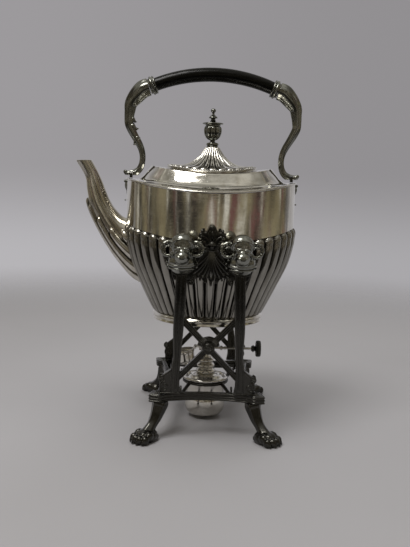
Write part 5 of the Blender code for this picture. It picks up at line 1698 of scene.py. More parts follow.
def frame_turn(end):
    """From a frame's own axes, in which it is upright and faces -Y, to the kettle's."""
    lean = math.atan2(FRAME_TOP_REACH - FRAME_FOOT_REACH, PIVOT_HEIGHT - BASE_TOP)
    front = Matrix.Translation((0, -FRAME_FOOT_REACH, BASE_TOP)) @ Matrix.Rotation(lean, 4, "X")
    return Matrix.Rotation(math.pi if end == "back" else 0.0, 4, "Z") @ front


def leg_foot():
    lean = math.atan2(FRAME_TOP_REACH - FRAME_FOOT_REACH, PIVOT_HEIGHT - BASE_TOP)
    return PLAY + settings("stand").thickness / 2 * math.sin(lean)


def on_leg(across, up):
    return LEG_HALF_SPAN * across, leg_foot() + LEG_HEIGHT * up


def on_bracket(across, up):
    foot = LEG_HEIGHT + leg_foot() + PLAY - BRACKET_HEIGHT * BRACKET_SEAT_SHARE
    return BRACKET_HALF_WIDTH * across, foot + BRACKET_HEIGHT * up


def arc_through(start, sweep, steps, place):
    """What place makes of the cosine and the sine at each step of an angle in degrees."""
    angles = [math.radians(start + sweep * k / steps) for k in range(steps + 1)]
    return [place(math.cos(angle), math.sin(angle)) for angle in angles]


def bead_along(points, radius, depth, steps=6, taper=None):
    """A raised bead on the front face along points in XZ."""
    path = [Vector((x, depth, z)) for x, z in curve_through(points, steps)]
    section = radius if taper is None else (lambda where: radius * taper(where))
    return tube(path, round_section(section, 12))


def spiral(middle, radius, turns, start, hand, depth, thick, lift=0.0):
    """A tapering scroll on the front face that winds inwards."""
    path = []
    total = int(28 * turns)
    for k in range(total + 1):
        t = k / total
        angle = start + hand * 2 * math.pi * turns * t
        reach = radius * (1 - 0.86 * t)
        x = middle[0] + reach * math.cos(angle)
        z = middle[1] + reach * math.sin(angle)
        path.append(Vector((x, depth - lift * t, z)))
    return tube(path, round_section(lambda where: thick * (1 - 0.45 * where), 12))


class KETTLE_OT_frames(bpy.types.Operator):
    """Build the legs, braces and brackets of the two frames"""

    bl_idname = "kettle.frames"
    bl_label = "Frames"

    def execute(self, context):
        legs = {side: self.leg(side) for side in (-1, 1)}
        brace, bracket = self.brace(), self.bracket()
        for end in ENDS:
            flip = 1 if end == "front" else -1
            for name, side in SIDES.items():
                self.place(end + "_leg_" + name + "_casting", legs[side * flip], end, end + "_leg_" + name)
            self.place(end + "_brace_casting", brace, end, end + "_brace")
            self.place(end + "_bracket_casting", bracket, end, end + "_bracket")
        return {"FINISHED"}

    def place(self, name, mesh, end, node):
        mesh = mesh.copy()
        mesh.transform(frame_turn(end))
        piece(name, mesh, "dark_plate", "stand", node, crease=40.0)

    def leg(self, side):
        stand = settings("stand")
        outline = [on_leg(x, z) for x, z in (*LEG_INNER, *LEG_OUTER)]
        solids = [extruded(outline, stand.thickness - stand.bead, 0.0010)]
        face = -(stand.thickness - stand.bead) / 2
        inner = [on_leg(x + 0.05, z) for x, z in LEG_INNER[:-1]]
        inner.append(on_leg(0.885, 0.012))
        outer = [on_leg(x - 0.05, z) for x, z in reversed(LEG_OUTER[4:])]
        outer.append(on_leg(1.13, 0.012))
        centre = [on_leg((a + b) / 2, z) for a, b, z in LEG_MIDDLE]
        for sign in (1, -1):
            solids.append(bead_along(inner, stand.bead, sign * face))
            solids.append(bead_along(outer, stand.bead, sign * face))
            solids.append(bead_along(centre, stand.bead * 0.8, sign * (face - 0.0001)))
            for across, up, size in ((1.34, 0.062, 0.0052), (1.43, 0.128, 0.0030)):
                solids.append(spiral(on_leg(across, up), size, 1.6, math.pi / 2, -1, sign * face, 0.0010))
            under = [on_leg(0.86, 0.006), on_leg(1.2, 0.008), on_leg(1.47, 0.006)]
            over = [on_leg(1.15, 0.2), on_leg(1.3, 0.165), on_leg(1.5, 0.13)]
            solids.append(bead_along(under, 0.0009, sign * face))
            solids.append(bead_along(over, 0.0009, sign * face))
        for k in range(5):
            x, z = on_leg(1.2 + 0.06 * k, 0.183 - 0.013 * k)
            solids.append(ball((x, 0, z), (0.0014, stand.thickness * 0.52, 0.0014), steps=14))
        return flipped(joined(solids)) if side < 0 else joined(solids)

    def brace(self):
        half = BRACE_BOSS_DEPTH / 2
        solids = []
        reach = BRACE_REACH / math.cos(BRACE_ANGLE)
        for tilt in (-BRACE_ANGLE, BRACE_ANGLE):
            turn = Matrix.Rotation(tilt, 4, "Y")
            w, d = BRACE_WIDTH / 2, BRACE_DEPTH / 2
            bars = [extruded([(-reach, -w), (reach, -w), (reach, w), (-reach, w)], BRACE_DEPTH * 0.8, 0.0006)]
            for sign in (-1, 1):
                for edge in (-0.72, 0.0, 0.72):
                    size = 0.00085 if edge else 0.0006
                    start = Vector((-reach, sign * d * 0.82, w * edge))
                    end = Vector((reach, sign * d * 0.82, w * edge))
                    bars.append(rod(size, start, end, 10))
            bar = joined(bars)
            bar.transform(turn)
            solids.append(bar)
        boss = [(r, half * h) for r, h in BRACE_BOSS_ROWS]
        ring = [(BRACE_BOSS * r, h) for r, h in boss] + [(BRACE_BOSS * r, -h) for r, h in reversed(boss[:-1])]
        disc = turned(rounded(ring, 0.0003), 48)
        disc.transform(Matrix.Rotation(math.pi / 2, 4, "X"))
        solids.append(disc)
        for sign in (-1, 1):
            for k in range(8):
                angle = math.pi / 4 * k
                x, z = BRACE_BOSS * 0.47 * math.cos(angle), BRACE_BOSS * 0.47 * math.sin(angle)
                solids.append(ball((x, sign * half * 0.84, z), (0.0011, 0.0009, 0.0011), steps=12))
        for reach, thick in ((0.0086, 0.0009), (0.0104, 0.0007)):
            hoop = arc_through(15, 150, 24, lambda x, z, reach=reach: (reach * x, reach * z))
            for sign in (-1, 1):
                solids.append(bead_along(hoop, thick, sign * BRACE_DEPTH * 0.38, 2))
        web = [(0.0, 0.0)] + arc_through(15, 150, 15, lambda x, z: (HOOD_RADIUS * x, HOOD_RADIUS * z))
        solids.append(extruded(web, BRACE_DEPTH * 0.7, 0.0004))
        return moved(joined(solids), (0, 0, BRACE_HEIGHT))

    def bracket(self):
        stand = settings("stand")
        depth = stand.thickness - 2 * stand.bead
        face = -depth / 2
        right = curve_through([on_bracket(x, z) for x, z in BRACKET_EDGE], 3)
        left = [(-x, z) for x, z in reversed(right[1:-1])]
        plate = extruded(right + left, depth, 0.0007)
        near, far = -FRAME_TOP_REACH - 0.01, -FRAME_TOP_REACH + 0.01
        bore = rod(PIVOT_BORE, (0, near, PIVOT_HEIGHT), (0, far, PIVOT_HEIGHT), 24)
        bore.transform(frame_turn("front").inverted())
        solids = [cut(plate, [bore])]
        for sign in (1, -1):
            y = sign * face
            solids += self.palmette(y, sign)
            solids += self.crown(y)
            for hand in (-1, 1):
                for inset, thick in ((0.0, 0.0011), (0.06, 0.0008)):
                    sweep = [on_bracket(hand * x, z - inset) for x, z in BRACKET_SWEEP]
                    solids.append(bead_along(sweep, thick, y))
                x, z = on_bracket(hand * 0.50, -0.07)
                solids.append(spiral((x, z), 0.0030, 1.5, math.pi / 2, hand, y, 0.0010))
                x, z = on_bracket(hand * 0.42, 0.03)
                solids.append(spiral((x, z), 0.0022, 1.3, 0.0, -hand, y, 0.0008))
                x, z = on_bracket(hand * 0.13, -0.06)
                solids.append(ball((x, y, z), (0.0013, 0.0014, 0.0016), steps=14))
                x, z = on_bracket(hand * 0.27, -0.02)
                solids.append(ball((x, y, z), (0.0011, 0.0012, 0.0011), steps=14))
        return joined(solids)

    def palmette(self, y, sign):
        """Ribs that fan out from the waist towards the bracket's foot."""
        solids = []
        x0, z0 = on_bracket(0.0, 0.58)
        for k in range(-5, 6):
            spread = k / 5
            x1, z1 = on_bracket(0.52 * spread, 0.02 + 0.16 * spread**2 + 0.02 * (k % 2))
            path = []
            for i in range(14):
                t = i / 13
                bend = t**1.5
                x = x0 + (x1 - x0) * bend + spread * 0.0022 * (1 - t)
                rise = sign * 0.0005 * math.sin(math.pi * t)
                path.append(Vector((x, y - rise, z0 + (z1 - z0) * t)))
            rib = round_section(lambda where: 0.0006 + 0.0011 * where * (1.15 - where**6), 12)
            solids.append(tube(path, rib))
            solids.append(ball(path[-1], (0.0015, 0.0013, 0.0015), steps=12))
        x, z = on_bracket(0.0, -0.1)
        solids.append(ball((x, y, z), (0.0014, 0.0014, 0.0024), steps=16))
        x, z = on_bracket(0.0, 0.12)
        solids.append(ball((x, y, z), (0.0018, 0.0014, 0.0036), steps=16))
        return solids

    def crown(self, y):
        """Rings round the waist, and the leaves and beads above them."""
        solids = []
        for up, half, thick in ((0.60, 0.16, 0.0009), (0.65, 0.15, 0.0008), (0.70, 0.16, 0.0009)):
            ring = [on_bracket(-half, up), on_bracket(0, up - 0.012), on_bracket(half, up)]
            solids.append(bead_along(ring, thick, y, 6))
        for hand in (-1, 1):
            leaf = [on_bracket(hand * x, up) for x, up in ((0.05, 0.73), (0.12, 0.82), (0.22, 0.88))]
            solids.append(bead_along(leaf, 0.0014, y, 8, lambda where: 1 - 0.5 * where))
            x, z = on_bracket(hand * 0.27, 0.90)
            solids.append(spiral((x, z), 0.0020, 1.2, -math.pi / 2, hand, y, 0.0009))
            x, z = on_bracket(hand * 0.25, 0.985)
            solids.append(ball((x, y, z), (0.0014, 0.0014, 0.0014), steps=16))
            stem = [on_bracket(hand * x, up) for x, up in ((0.02, 0.74), (0.07, 0.88), (0.06, 1.0))]
            solids.append(bead_along(stem, 0.0010, y, 8, lambda where: 1 - 0.4 * where))
        x, z = on_bracket(0.0, 1.06)
        solids.append(ball((x, y * 0.9, z), (0.0017, 0.0016, 0.0018), steps=18))
        x, z = on_bracket(0.0, 0.90)
        solids.append(ball((x, y, z), (0.0015, 0.0014, 0.0040), steps=18))
        return solids


class KETTLE_OT_heads(bpy.types.Operator):
    """Build the four animal heads with their curled horns"""

    bl_idname = "kettle.heads"
    bl_label = "Heads"

    def execute(self, context):
        stand = settings("stand")
        head = self.head(stand.voxel)
        for end in ENDS:
            flip = 1 if end == "front" else -1
            for name, side in SIDES.items():
                mesh = head.copy()
                at = (side * flip * HEAD_HALF_SPAN, -stand.thickness / 2 - PLAY, HEAD_HEIGHT)
                mesh.transform(frame_turn(end) @ Matrix.Translation(at))
                node = end + "_head_" + name
                piece(node + "_casting", mesh, "head_plate", "stand", node, crease=0)
        return {"FINISHED"}

    def head(self, voxel):
        s = HEAD_SIZE
        # Middle and radii in head sizes
        forms = (
            ((0.0, -0.80, 0.78), (1.06, 0.95, 1.0)),
            ((0.0, -1.10, 0.30), (0.80, 0.80, 0.75)),
            ((0.0, -1.42, 0.08), (0.50, 0.75, 0.50)),
            ((0.0, -1.78, -0.20), (0.64, 0.66, 0.60)),
            ((0.0, -1.60, -0.52), (0.56, 0.60, 0.34)),
            ((-0.58, -0.95, -0.10), (0.42, 0.5, 0.48)),
            ((0.58, -0.95, -0.10), (0.42, 0.5, 0.48)),
            ((0.0, -0.72, -0.80), (1.22, 0.92, 1.0)),
            ((0.0, -0.55, -1.45), (0.95, 0.68, 0.50)),
            ((-0.40, -1.62, 0.36), (0.20, 0.20, 0.16)),
            ((0.40, -1.62, 0.36), (0.20, 0.20, 0.16)),
            ((-0.30, -2.28, -0.12), (0.15, 0.16, 0.12)),
            ((0.30, -2.28, -0.12), (0.15, 0.16, 0.12)),
        )
        solids = [ball([v * s for v in at], [r * s for r in radii], steps=36) for at, radii in forms]
        brow = arc_through(
            -8, 196, 24, lambda x, z: Vector((0.98 * s * x, (-1.30 - 0.25 * z) * s, (0.62 + 0.72 * z) * s))
        )
        solids.append(tube(brow, round_section(0.0009, 12), Vector((0, 0, 1))))
        lids = []
        lid_line = curve_through([(0.12, -1.72, 0.44), (0.36, -1.84, 0.60), (0.66, -1.50, 0.50)], 6)
        for hand in (-1, 1):
            path = [Vector((hand * x * s, y * s, z * s)) for x, y, z in lid_line]
            lids.append(tube(path, round_section(0.0008, 12)))
        lip = arc_through(
            200,
            140,
            20,
            lambda x, z: Vector((0.66 * s * x, (-1.75 + 0.5 * abs(x)) * s - 0.0018, (-0.16 + 0.44 * z) * s)),
        )
        lids.append(tube(lip, round_section(0.0006, 12)))
        ruff = arc_through(
            -10, 200, 24, lambda x, z: Vector((0.86 * s * x, (-1.42 - 0.15 * z) * s, (-0.26 + 0.64 * z) * s))
        )
        lids.append(tube(ruff, round_section(0.0007, 12)))
        back = block((-4 * s, 0, -4 * s), (4 * s, 4 * s, 4 * s))
        skull = cast([*solids, *lids], voxel, passes=3, keep=0.45)
        parts = [cut(skull, [back])]
        for hand in (-1, 1):
            parts.append(self.horn(hand))
            for x, z in ((1.15, -0.62), (1.32, -0.95), (1.30, -1.30)):
                parts.append(ball((hand * x * s, -0.45 * s, z * s), (0.0012, 0.0012, 0.0012), steps=14))
        for up, reach, thick in ((-1.02, 1.26, 0.0010), (-1.32, 1.16, 0.0009)):
            collar = arc_through(
                180,
                180,
                24,
                lambda x, z, reach=reach, up=up: Vector((reach * s * x, (-0.60 + 0.95 * z) * s, up * s)),
            )
            parts.append(tube(collar, round_section(thick, 12), Vector((0, 0, 1))))
        return joined(parts)

    def horn(self, hand):
        """A ridged horn that curls round into an open loop."""
        s = HEAD_SIZE
        path = []
        total = 72
        for k in range(total + 1):
            t = k / total
            angle = math.radians(118 - 430 * t)
            reach = 0.0068 * (1 - 0.42 * t)
            x = 1.22 * s + reach * math.cos(angle)
            z = 0.28 * s + reach * math.sin(angle)
            path.append(Vector((hand * x, (-0.55 - 0.75 * t) * s, z)))

        def thick(where):
            return 0.0021 * (1 - 0.62 * where) * (1 + 0.10 * math.sin(where * 2 * math.pi * 15))

        return tube(path, round_section(thick, 16))


class KETTLE_OT_base(bpy.types.Operator):
    """Build the incurved base and the carrier that holds the lamp"""

    bl_idname = "kettle.base"
    bl_label = "Base and lamp carrier"

    def execute(self, context):
        outer = four_way([(x * BASE_HALF_LENGTH, y * BASE_HALF_DEPTH) for x, y in BASE_OUTER])
        inner = four_way([(x * BASE_HALF_LENGTH, y * BASE_HALF_DEPTH) for x, y in BASE_INNER])
        middle = BASE_TOP - BASE_THICKNESS / 2
        thin = 0.0008
        hole = inset_loop(inner, -thin)
        slab = extruded(inset_loop(outer, thin), BASE_THICKNESS - 2 * thin, 0.0008, holes=[hole])
        slab.transform(Matrix.Rotation(-math.pi / 2, 4, "X"))
        solids = [moved(slab, (0, 0, middle))]
        for up in (-0.36, 0.0, 0.36):
            reach = 0.0009 if up else 0.0005
            edge = inset_loop(outer, reach + 0.0001)
            solids.append(loop_bead(edge, 0.0010 if up else 0.0007, middle + BASE_THICKNESS * up))
            solids.append(loop_bead(inset_loop(inner, -0.001), 0.0008, middle + BASE_THICKNESS * up))
        for inset, thick in ((0.0022, 0.0006), (0.0042, 0.0008)):
            for face in (-1, 1):
                height = middle + face * (BASE_THICKNESS / 2 - thin)
                solids.append(loop_bead(inset_loop(outer, inset), thick, height))
        for sx in (-1, 1):
            for sy in (-1, 1):
                solids += self.spear(sx, sy, BASE_TOP - thin)
        piece("base_casting", joined(solids), "dark_plate", "stand", "base", crease=40.0)
        self.carrier()
        return {"FINISHED"}

    def spear(self, sx, sy, top):
        """Chevrons across a pointed corner."""
        solids = []
        tip = Vector((sx * BASE_HALF_LENGTH, sy * BASE_HALF_DEPTH, top))
        inward = Vector((-sx * 0.55, -sy * 0.83, 0)).normalized()
        across = Vector((-inward.y, inward.x, 0))
        for k in range(4):
            middle = tip + inward * (0.0035 + 0.0028 * k)
            half = 0.0022 + 0.0013 * k
            path = [middle + across * half * t + inward * abs(t) * half * 0.8 for t in (-1, -0.5, 0, 0.5, 1)]
            solids.append(tube(path, round_section(0.0007, 10), Vector((0, 0, 1))))
        return solids

    def carrier(self):
        radius = CARRIER_RADIUS
        inner = radius - CARRIER_WIDTH
        foot, top = CARRIER_HEIGHT, CARRIER_HEIGHT + CARRIER_THICKNESS
        profile = [(inner, top), (inner, foot), (radius - 0.0006, foot), (radius, foot + 0.0006)]
        profile += [(radius - 0.0004, foot + 0.0013), (radius, top - 0.0006), (radius - 0.0006, top)]
        solids = [turned(rounded(profile, 0.0003, looped=True), 96, looped=True)]
        middle = (foot + top) / 2
        for sx in (-1, 1):
            for sy in (-1, 1):
                rows = [
                    (sx * x * radius, sy * y * radius, middle + CARRIER_DROP * z, r)
                    for x, y, z, r in CARRIER_ROWS
                ]
                stations = curve_through(rows, 8)
                path = [Vector(row[:3]) for row in stations]
                last = len(stations) - 1

                def thick(where, stations=stations, last=last):
                    return CARRIER_ARM * stations[min(round(where * last), last)][3]

                solids.append(tube(path, round_section(thick, 16), Vector((0, 0, 1))))
                curl = []
                for k in range(30):
                    t = k / 29
                    angle = -math.pi / 2 + sy * 2 * math.pi * 1.2 * t
                    reach = 0.0038 * (1 - 0.75 * t)
                    curl.append(
                        path[len(path) // 2]
                        + Vector((sx * 0.001, reach * math.cos(angle), 0.0045 + reach * math.sin(angle)))
                    )
                coil = round_section(lambda where: 0.0011 * (1 - 0.4 * where), 12)
                solids.append(tube(curl, coil, Vector((1, 0, 0))))
        piece("lamp_carrier_casting", joined(solids), "dark_plate", "stand", "lamp_carrier", crease=40.0)


def four_way(quarter):
    """A loop through all four quarters from one that runs from the Y axis to the X axis."""
    first = [(max(x, 0), max(y, 0)) for x, y in quarter]
    second = [(x, -y) for x, y in reversed(first[:-1])]
    third = [(-x, -y) for x, y in first[1:]]
    fourth = [(-x, y) for x, y in reversed(first[1:-1])]
    return first + second + third + fourth


def inset_loop(points, distance):
    """A loop moved towards its own middle, or away from it, square to its edges."""
    result = []
    area = sum(a[0] * b[1] - b[0] * a[1] for a, b in zip(points, points[1:] + points[:1]))
    hand = 1 if area > 0 else -1
    for i, (x, y) in enumerate(points):
        before, after = Vector(points[i - 1]), Vector(points[(i + 1) % len(points)])
        here = Vector((x, y))
        into, out = (here - before).normalized(), (after - here).normalized()
        normal = Vector((-into.y - out.y, into.x + out.x)) * hand
        scale = distance / max(normal.length / 2, 0.5)
        step = normal.normalized() * scale
        result.append((x + step.x, y + step.y))
    return result


def loop_bead(points, radius, height):
    """A bead along a level loop."""
    path = []
    for a, b in zip(points, points[1:] + points[:1]):
        for k in range(3):
            path.append(Vector((a[0] + (b[0] - a[0]) * k / 3, a[1] + (b[1] - a[1]) * k / 3, height)))
    return tube(path, round_section(radius, 10), Vector((0, 0, 1)), closed=True)


class KETTLE_OT_paws(bpy.types.Operator):
    """Build the four paw feet"""

    bl_idname = "kettle.paws"
    bl_label = "Paw feet"

    def execute(self, context):
        paw = self.paw(settings("stand").voxel)
        rise, run = PAW_REACH[1] - PAW_TOP[1], PAW_REACH[0] - PAW_TOP[0]
        aim = math.atan2(rise, run)
        for end, side_y in ENDS.items():
            for name, side_x in SIDES.items():
                turn = side_y * (aim if side_x > 0 else math.pi - aim)
                place = Matrix.Translation((side_x * PAW_TOP[0], side_y * PAW_TOP[1], 0))
                mesh = paw.copy()
                mesh.transform(place @ Matrix.Rotation(turn, 4, "Z"))
                node = f"{end}_paw_{name}"
                piece(node + "_casting", mesh, "dark_plate", "stand", node, crease=0)
        return {"FINISHED"}

    def paw(self, voxel):
        s = PAW_SIZE
        reach = math.hypot(PAW_REACH[0] - PAW_TOP[0], PAW_REACH[1] - PAW_TOP[1])
        top = BASE_TOP - BASE_THICKNESS - PLAY
        rows = [(0.0, top + 0.004, 1.0)] + [(reach * x, top * z, r) for x, z, r in SHANK_ROWS]
        stations = curve_through(rows, 6)
        last = len(stations) - 1

        def section(where):
            radius = SHANK_RADIUS * stations[min(round(where * last), last)][2]
            points = []
            for k in range(36):
                angle = 2 * math.pi * k / 36
                fold = 1 - 0.10 * (0.5 - 0.5 * math.cos(5 * angle))
                points.append((radius * fold * math.cos(angle), radius * fold * math.sin(angle)))
            return points

        solids = [tube([Vector((x, 0, z)) for x, z, _ in stations], section)]
        ridge = [
            Vector((x + SHANK_RADIUS * r * 0.92, 0, z + SHANK_RADIUS * r * 0.30))
            for x, z, r in stations[6:-4]
        ]
        solids.append(tube(ridge, round_section(lambda where: 0.0016 * (1 - 0.5 * where), 14)))
        for side in (-1, 1):
            fold = [
                Vector((x + SHANK_RADIUS * r * 0.35, side * SHANK_RADIUS * r * 0.86, z))
                for x, z, r in stations[5:-5]
            ]
            thin = round_section(lambda where: 0.0014 * (1 - 0.5 * where), 14)
            solids.append(tube(fold, thin, Vector((1, 0, 0))))
        solids.append(ball((reach - 0.1 * s, 0, 0.5 * s), (1.12 * s, 0.92 * s, 0.72 * s), steps=30))
        solids.append(ball((reach - 0.55 * s, 0, 0.34 * s), (0.8 * s, 0.8 * s, 0.42 * s), steps=30))
        for across, ahead, size in TOE_ROWS:
            turn = Matrix.Rotation(across * 0.35, 4, "Z")
            knuckle = (reach + (ahead - 0.42) * s, across * 0.92 * s, 0.66 * s)
            solids.append(ball(knuckle, (0.52 * s, size * s, 0.44 * s), turn))
            pad = (reach + (ahead + 0.18) * s, across * s, 0.42 * s)
            solids.append(ball(pad, (0.42 * s, size * 0.98 * s, 0.42 * s), turn))
            claw = [Vector((reach + (ahead + x) * s, across * y * s, z * s)) for x, y, z in CLAW_ROWS]
            solids.append(tube(claw, round_section(lambda where: 0.0014 * (1.1 - 0.75 * where), 12)))
        mesh = cast(solids, voxel, passes=2, keep=0.5)
        far = 4 * s
        over = block((-far, -far, top), (far * 2, far, top + far))
        under = block((-far, -far, -far), (far * 2, far, 0))
        return cut(mesh, [over, under])


# Spirit lamp


LAMP_RIM_HEIGHT = 0.043
LAMP_RIM_RADIUS = 0.0224
LAMP_ROLL = 0.0018
LAMP_BOWL_DEPTH = 0.0405
LAMP_SHEET = 0.0012
BURNER_TOP = 0.082
BURNER_RADIUS = 0.0102
# Radius and height shares of the burner's neck, from its top down
BURNER_ROWS = (
    (0.47, 1.0),
    (0.70, 1.0),
    (0.79, 0.98),
    (0.79, 0.91),
    (0.70, 0.88),
    (0.56, 0.84),
    (0.54, 0.70),
    (0.56, 0.52),
    (0.66, 0.48),
    (0.82, 0.45),
    (0.84, 0.40),
    (0.78, 0.365),
    (0.66, 0.34),
    (0.78, 0.31),
    (0.93, 0.28),
    (0.95, 0.23),
    (0.88, 0.20),
    (0.76, 0.17),
    (0.86, 0.13),
    (1.0, 0.10),
    (1.02, 0.05),
    (1.0, 0.0),
)
BOWL_ROWS = (
    (0.955, 0.97),
    (0.93, 0.90),
    (0.90, 0.80),
    (0.885, 0.66),
    (0.90, 0.56),
    (0.94, 0.46),
    (0.955, 0.36),
    (0.945, 0.25),
    (0.90, 0.14),
    (0.80, 0.05),
    (0.66, 0.012),
    (0.60, 0.0),
)
CAP_RADIUS = 0.0100
CAP_HEIGHT = 0.0165
CAP_SHEET = 0.0009
CAP_ROWS = (
    (0.0, 1.0),
    (0.22, 0.998),
    (0.45, 0.98),
    (0.68, 0.94),
    (0.84, 0.87),
    (0.93, 0.78),
    (0.95, 0.66),
    (0.95, 0.26),
    (0.97, 0.2),
    (1.02, 0.17),
    (1.03, 0.11),
    (1.0, 0.07),
    (1.02, 0.03),
    (1.0, 0.0),
)
CAP_HINGE_REACH = 0.0118
CAP_HINGE_HEIGHT = 0.0764
CAP_MOUTH_RISE = 0.0019
CAP_OPEN_ANGLE = math.radians(190)
CAP_HINGE_RADIUS = 0.0013
CAP_HINGE_WIDTH = 0.006
WINDER_HEIGHT = 0.0735
WINDER_OFFSET = 0.0055
WICK_TUBE_BORE = 0.0044
WICK_TUBE_RADIUS = 0.0059
HOUSING_REACH = 0.0075
HOUSING_RADIUS = 0.0031
# Place, swell and half width of each ring on the winder's shaft
SHAFT_RINGS = (
    (0.0165, 1.9, 0.0011),
    (0.0205, 1.5, 0.0008),
    (0.0335, 1.8, 0.0010),
    (0.0365, 1.4, 0.0007),
)
KNOB_ROWS = (
    (0.0, 1.0),
    (0.30, 1.0),
    (0.42, 0.97),
    (0.46, 0.94),
    (0.60, 0.93),
    (0.90, 0.90),
    (1.0, 0.84),
    (1.0, 0.60),
    (0.90, 0.52),
    (0.55, 0.46),
    (0.36, 0.38),
    (0.34, 0.30),
    (0.46, 0.24),
    (0.46, 0.14),
    (0.34, 0.08),
    (0.34, 0.0),
    (0.0, 0.0),
)


class KETTLE_OT_lamp(bpy.types.Operator):
    """Build the lamp's bowl, cover and ringed burner"""

    bl_idname = "kettle.lamp"
    bl_label = "Lamp"

    def execute(self, context):
        steps = settings("lamp").steps
        foot = LAMP_RIM_HEIGHT - LAMP_BOWL_DEPTH
        outer = [(LAMP_RIM_RADIUS * r, foot + LAMP_BOWL_DEPTH * h) for r, h in BOWL_ROWS]
        smooth = curve_through(outer, 4)
        inner = [(max(r - LAMP_SHEET, 0.0), max(h, foot + LAMP_SHEET)) for r, h in outer]
        seat = LAMP_RIM_RADIUS - LAMP_ROLL
        roll = arc_through(
            165, -250, 10, lambda x, z: (LAMP_RIM_RADIUS + LAMP_ROLL * x, LAMP_RIM_HEIGHT + LAMP_ROLL * z)
        )
        inside = [(0.0, foot + LAMP_SHEET), *reversed(inner), (seat, LAMP_RIM_HEIGHT)]
        profile = [*inside, *roll, *smooth, (0.0, foot)]
        piece("lamp_vessel", turned(profile, steps), "lamp_plate", "lamp", "lamp_bowl")
        self.cover(steps, seat)
        self.burner(steps)
        return {"FINISHED"}

    def cover(self, steps, seat):
        low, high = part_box("lamp_cover")
        outer = seat - PLAY
        top = high.z
        rows = (
            (0.0062, top - 0.0012),
            (0.0062, top),
            (0.0104, top),
            (0.0112, top - 0.0003),
            (0.0128, top - 0.0012),
            (0.0140, top - 0.0012),
            (0.0150, top - 0.0006),
            (0.0162, top - 0.0010),
            (outer * 0.9, top - 0.0034),
            (outer, top - 0.0040),
            (outer, low.z),
            (0.0104, top - 0.0012),
        )
        mesh = turned(rounded(rows, 0.0004, looped=True), steps, looped=True)
        piece("lamp_lid_plate", mesh, "lamp_plate", "lamp", "lamp_cover")

    def burner(self, steps):
        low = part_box("burner")[0]
        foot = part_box("lamp_cover")[1].z + PLAY
        height = BURNER_TOP - foot
        outer = [(BURNER_RADIUS * r, foot + height * h) for r, h in BURNER_ROWS]
        bore, wall = WICK_TUBE_BORE, WICK_TUBE_RADIUS
        profile = [(bore, BURNER_TOP), *outer[1:], (wall, foot), (wall, low.z), (bore, low.z)]
        neck = turned(rounded(profile, 0.0005, looped=True), steps, looped=True)
        start = (-HOUSING_REACH, WINDER_OFFSET, WINDER_HEIGHT)
        end = (HOUSING_REACH, WINDER_OFFSET, WINDER_HEIGHT)
        housing = rod(HOUSING_RADIUS, start, end, 40, 0.0005)
        solids = [neck, housing]
        for side in (-1, 1):
            near, far = sorted((side * (CAP_HINGE_WIDTH / 4 + PLAY), side * CAP_HINGE_WIDTH / 2))
            start = (-CAP_HINGE_REACH, near, CAP_HINGE_HEIGHT)
            end = (-CAP_HINGE_REACH, far, CAP_HINGE_HEIGHT)
            solids.append(rod(CAP_HINGE_RADIUS, start, end, 24))
            solids.append(
                block(
                    (-CAP_HINGE_REACH, near, CAP_HINGE_HEIGHT - CAP_HINGE_RADIUS),
                    (-bore - 0.001, far, CAP_HINGE_HEIGHT + CAP_HINGE_RADIUS * 0.6),
                )
            )
        piece("burner_neck", joined(solids), "lamp_plate", "lamp", "burner")


class KETTLE_OT_cap(bpy.types.Operator):
    """Build the snuffer cap that hangs open beside the burner"""

    bl_idname = "kettle.cap"
    bl_label = "Snuffer cap"

    def execute(self, context):
        steps = settings("lamp").steps
        outer = [(CAP_RADIUS * r, CAP_HEIGHT * h) for r, h in CAP_ROWS]
        smooth = curve_through(outer, 3)
        inner = [(r - CAP_SHEET, min(h, CAP_HEIGHT - CAP_SHEET)) for r, h in outer[3:]]
        profile = smooth + list(reversed(inner)) + [(0.0, CAP_HEIGHT - CAP_SHEET)]
        cup = moved(turned(profile, steps), (CAP_HINGE_REACH, 0, CAP_MOUTH_RISE))
        half = CAP_HINGE_WIDTH / 4
        barrel = rod(CAP_HINGE_RADIUS, (0, -half, 0), (0, half, 0), 32)
        tongue = block(
            (-CAP_HINGE_RADIUS / 2, -half, 0),
            (CAP_HINGE_REACH - CAP_RADIUS + CAP_SHEET / 2, half, CAP_MOUTH_RISE + CAP_HINGE_RADIUS),
        )
        mesh = joined([cup, barrel, tongue])
        mesh.transform(Matrix.Rotation(-CAP_OPEN_ANGLE, 4, "Y"))
        moved(mesh, (-CAP_HINGE_REACH, 0, CAP_HINGE_HEIGHT))
        piece("snuffer_cup", mesh, "lamp_plate", "snuffer", "snuffer_cap")
        return {"FINISHED"}


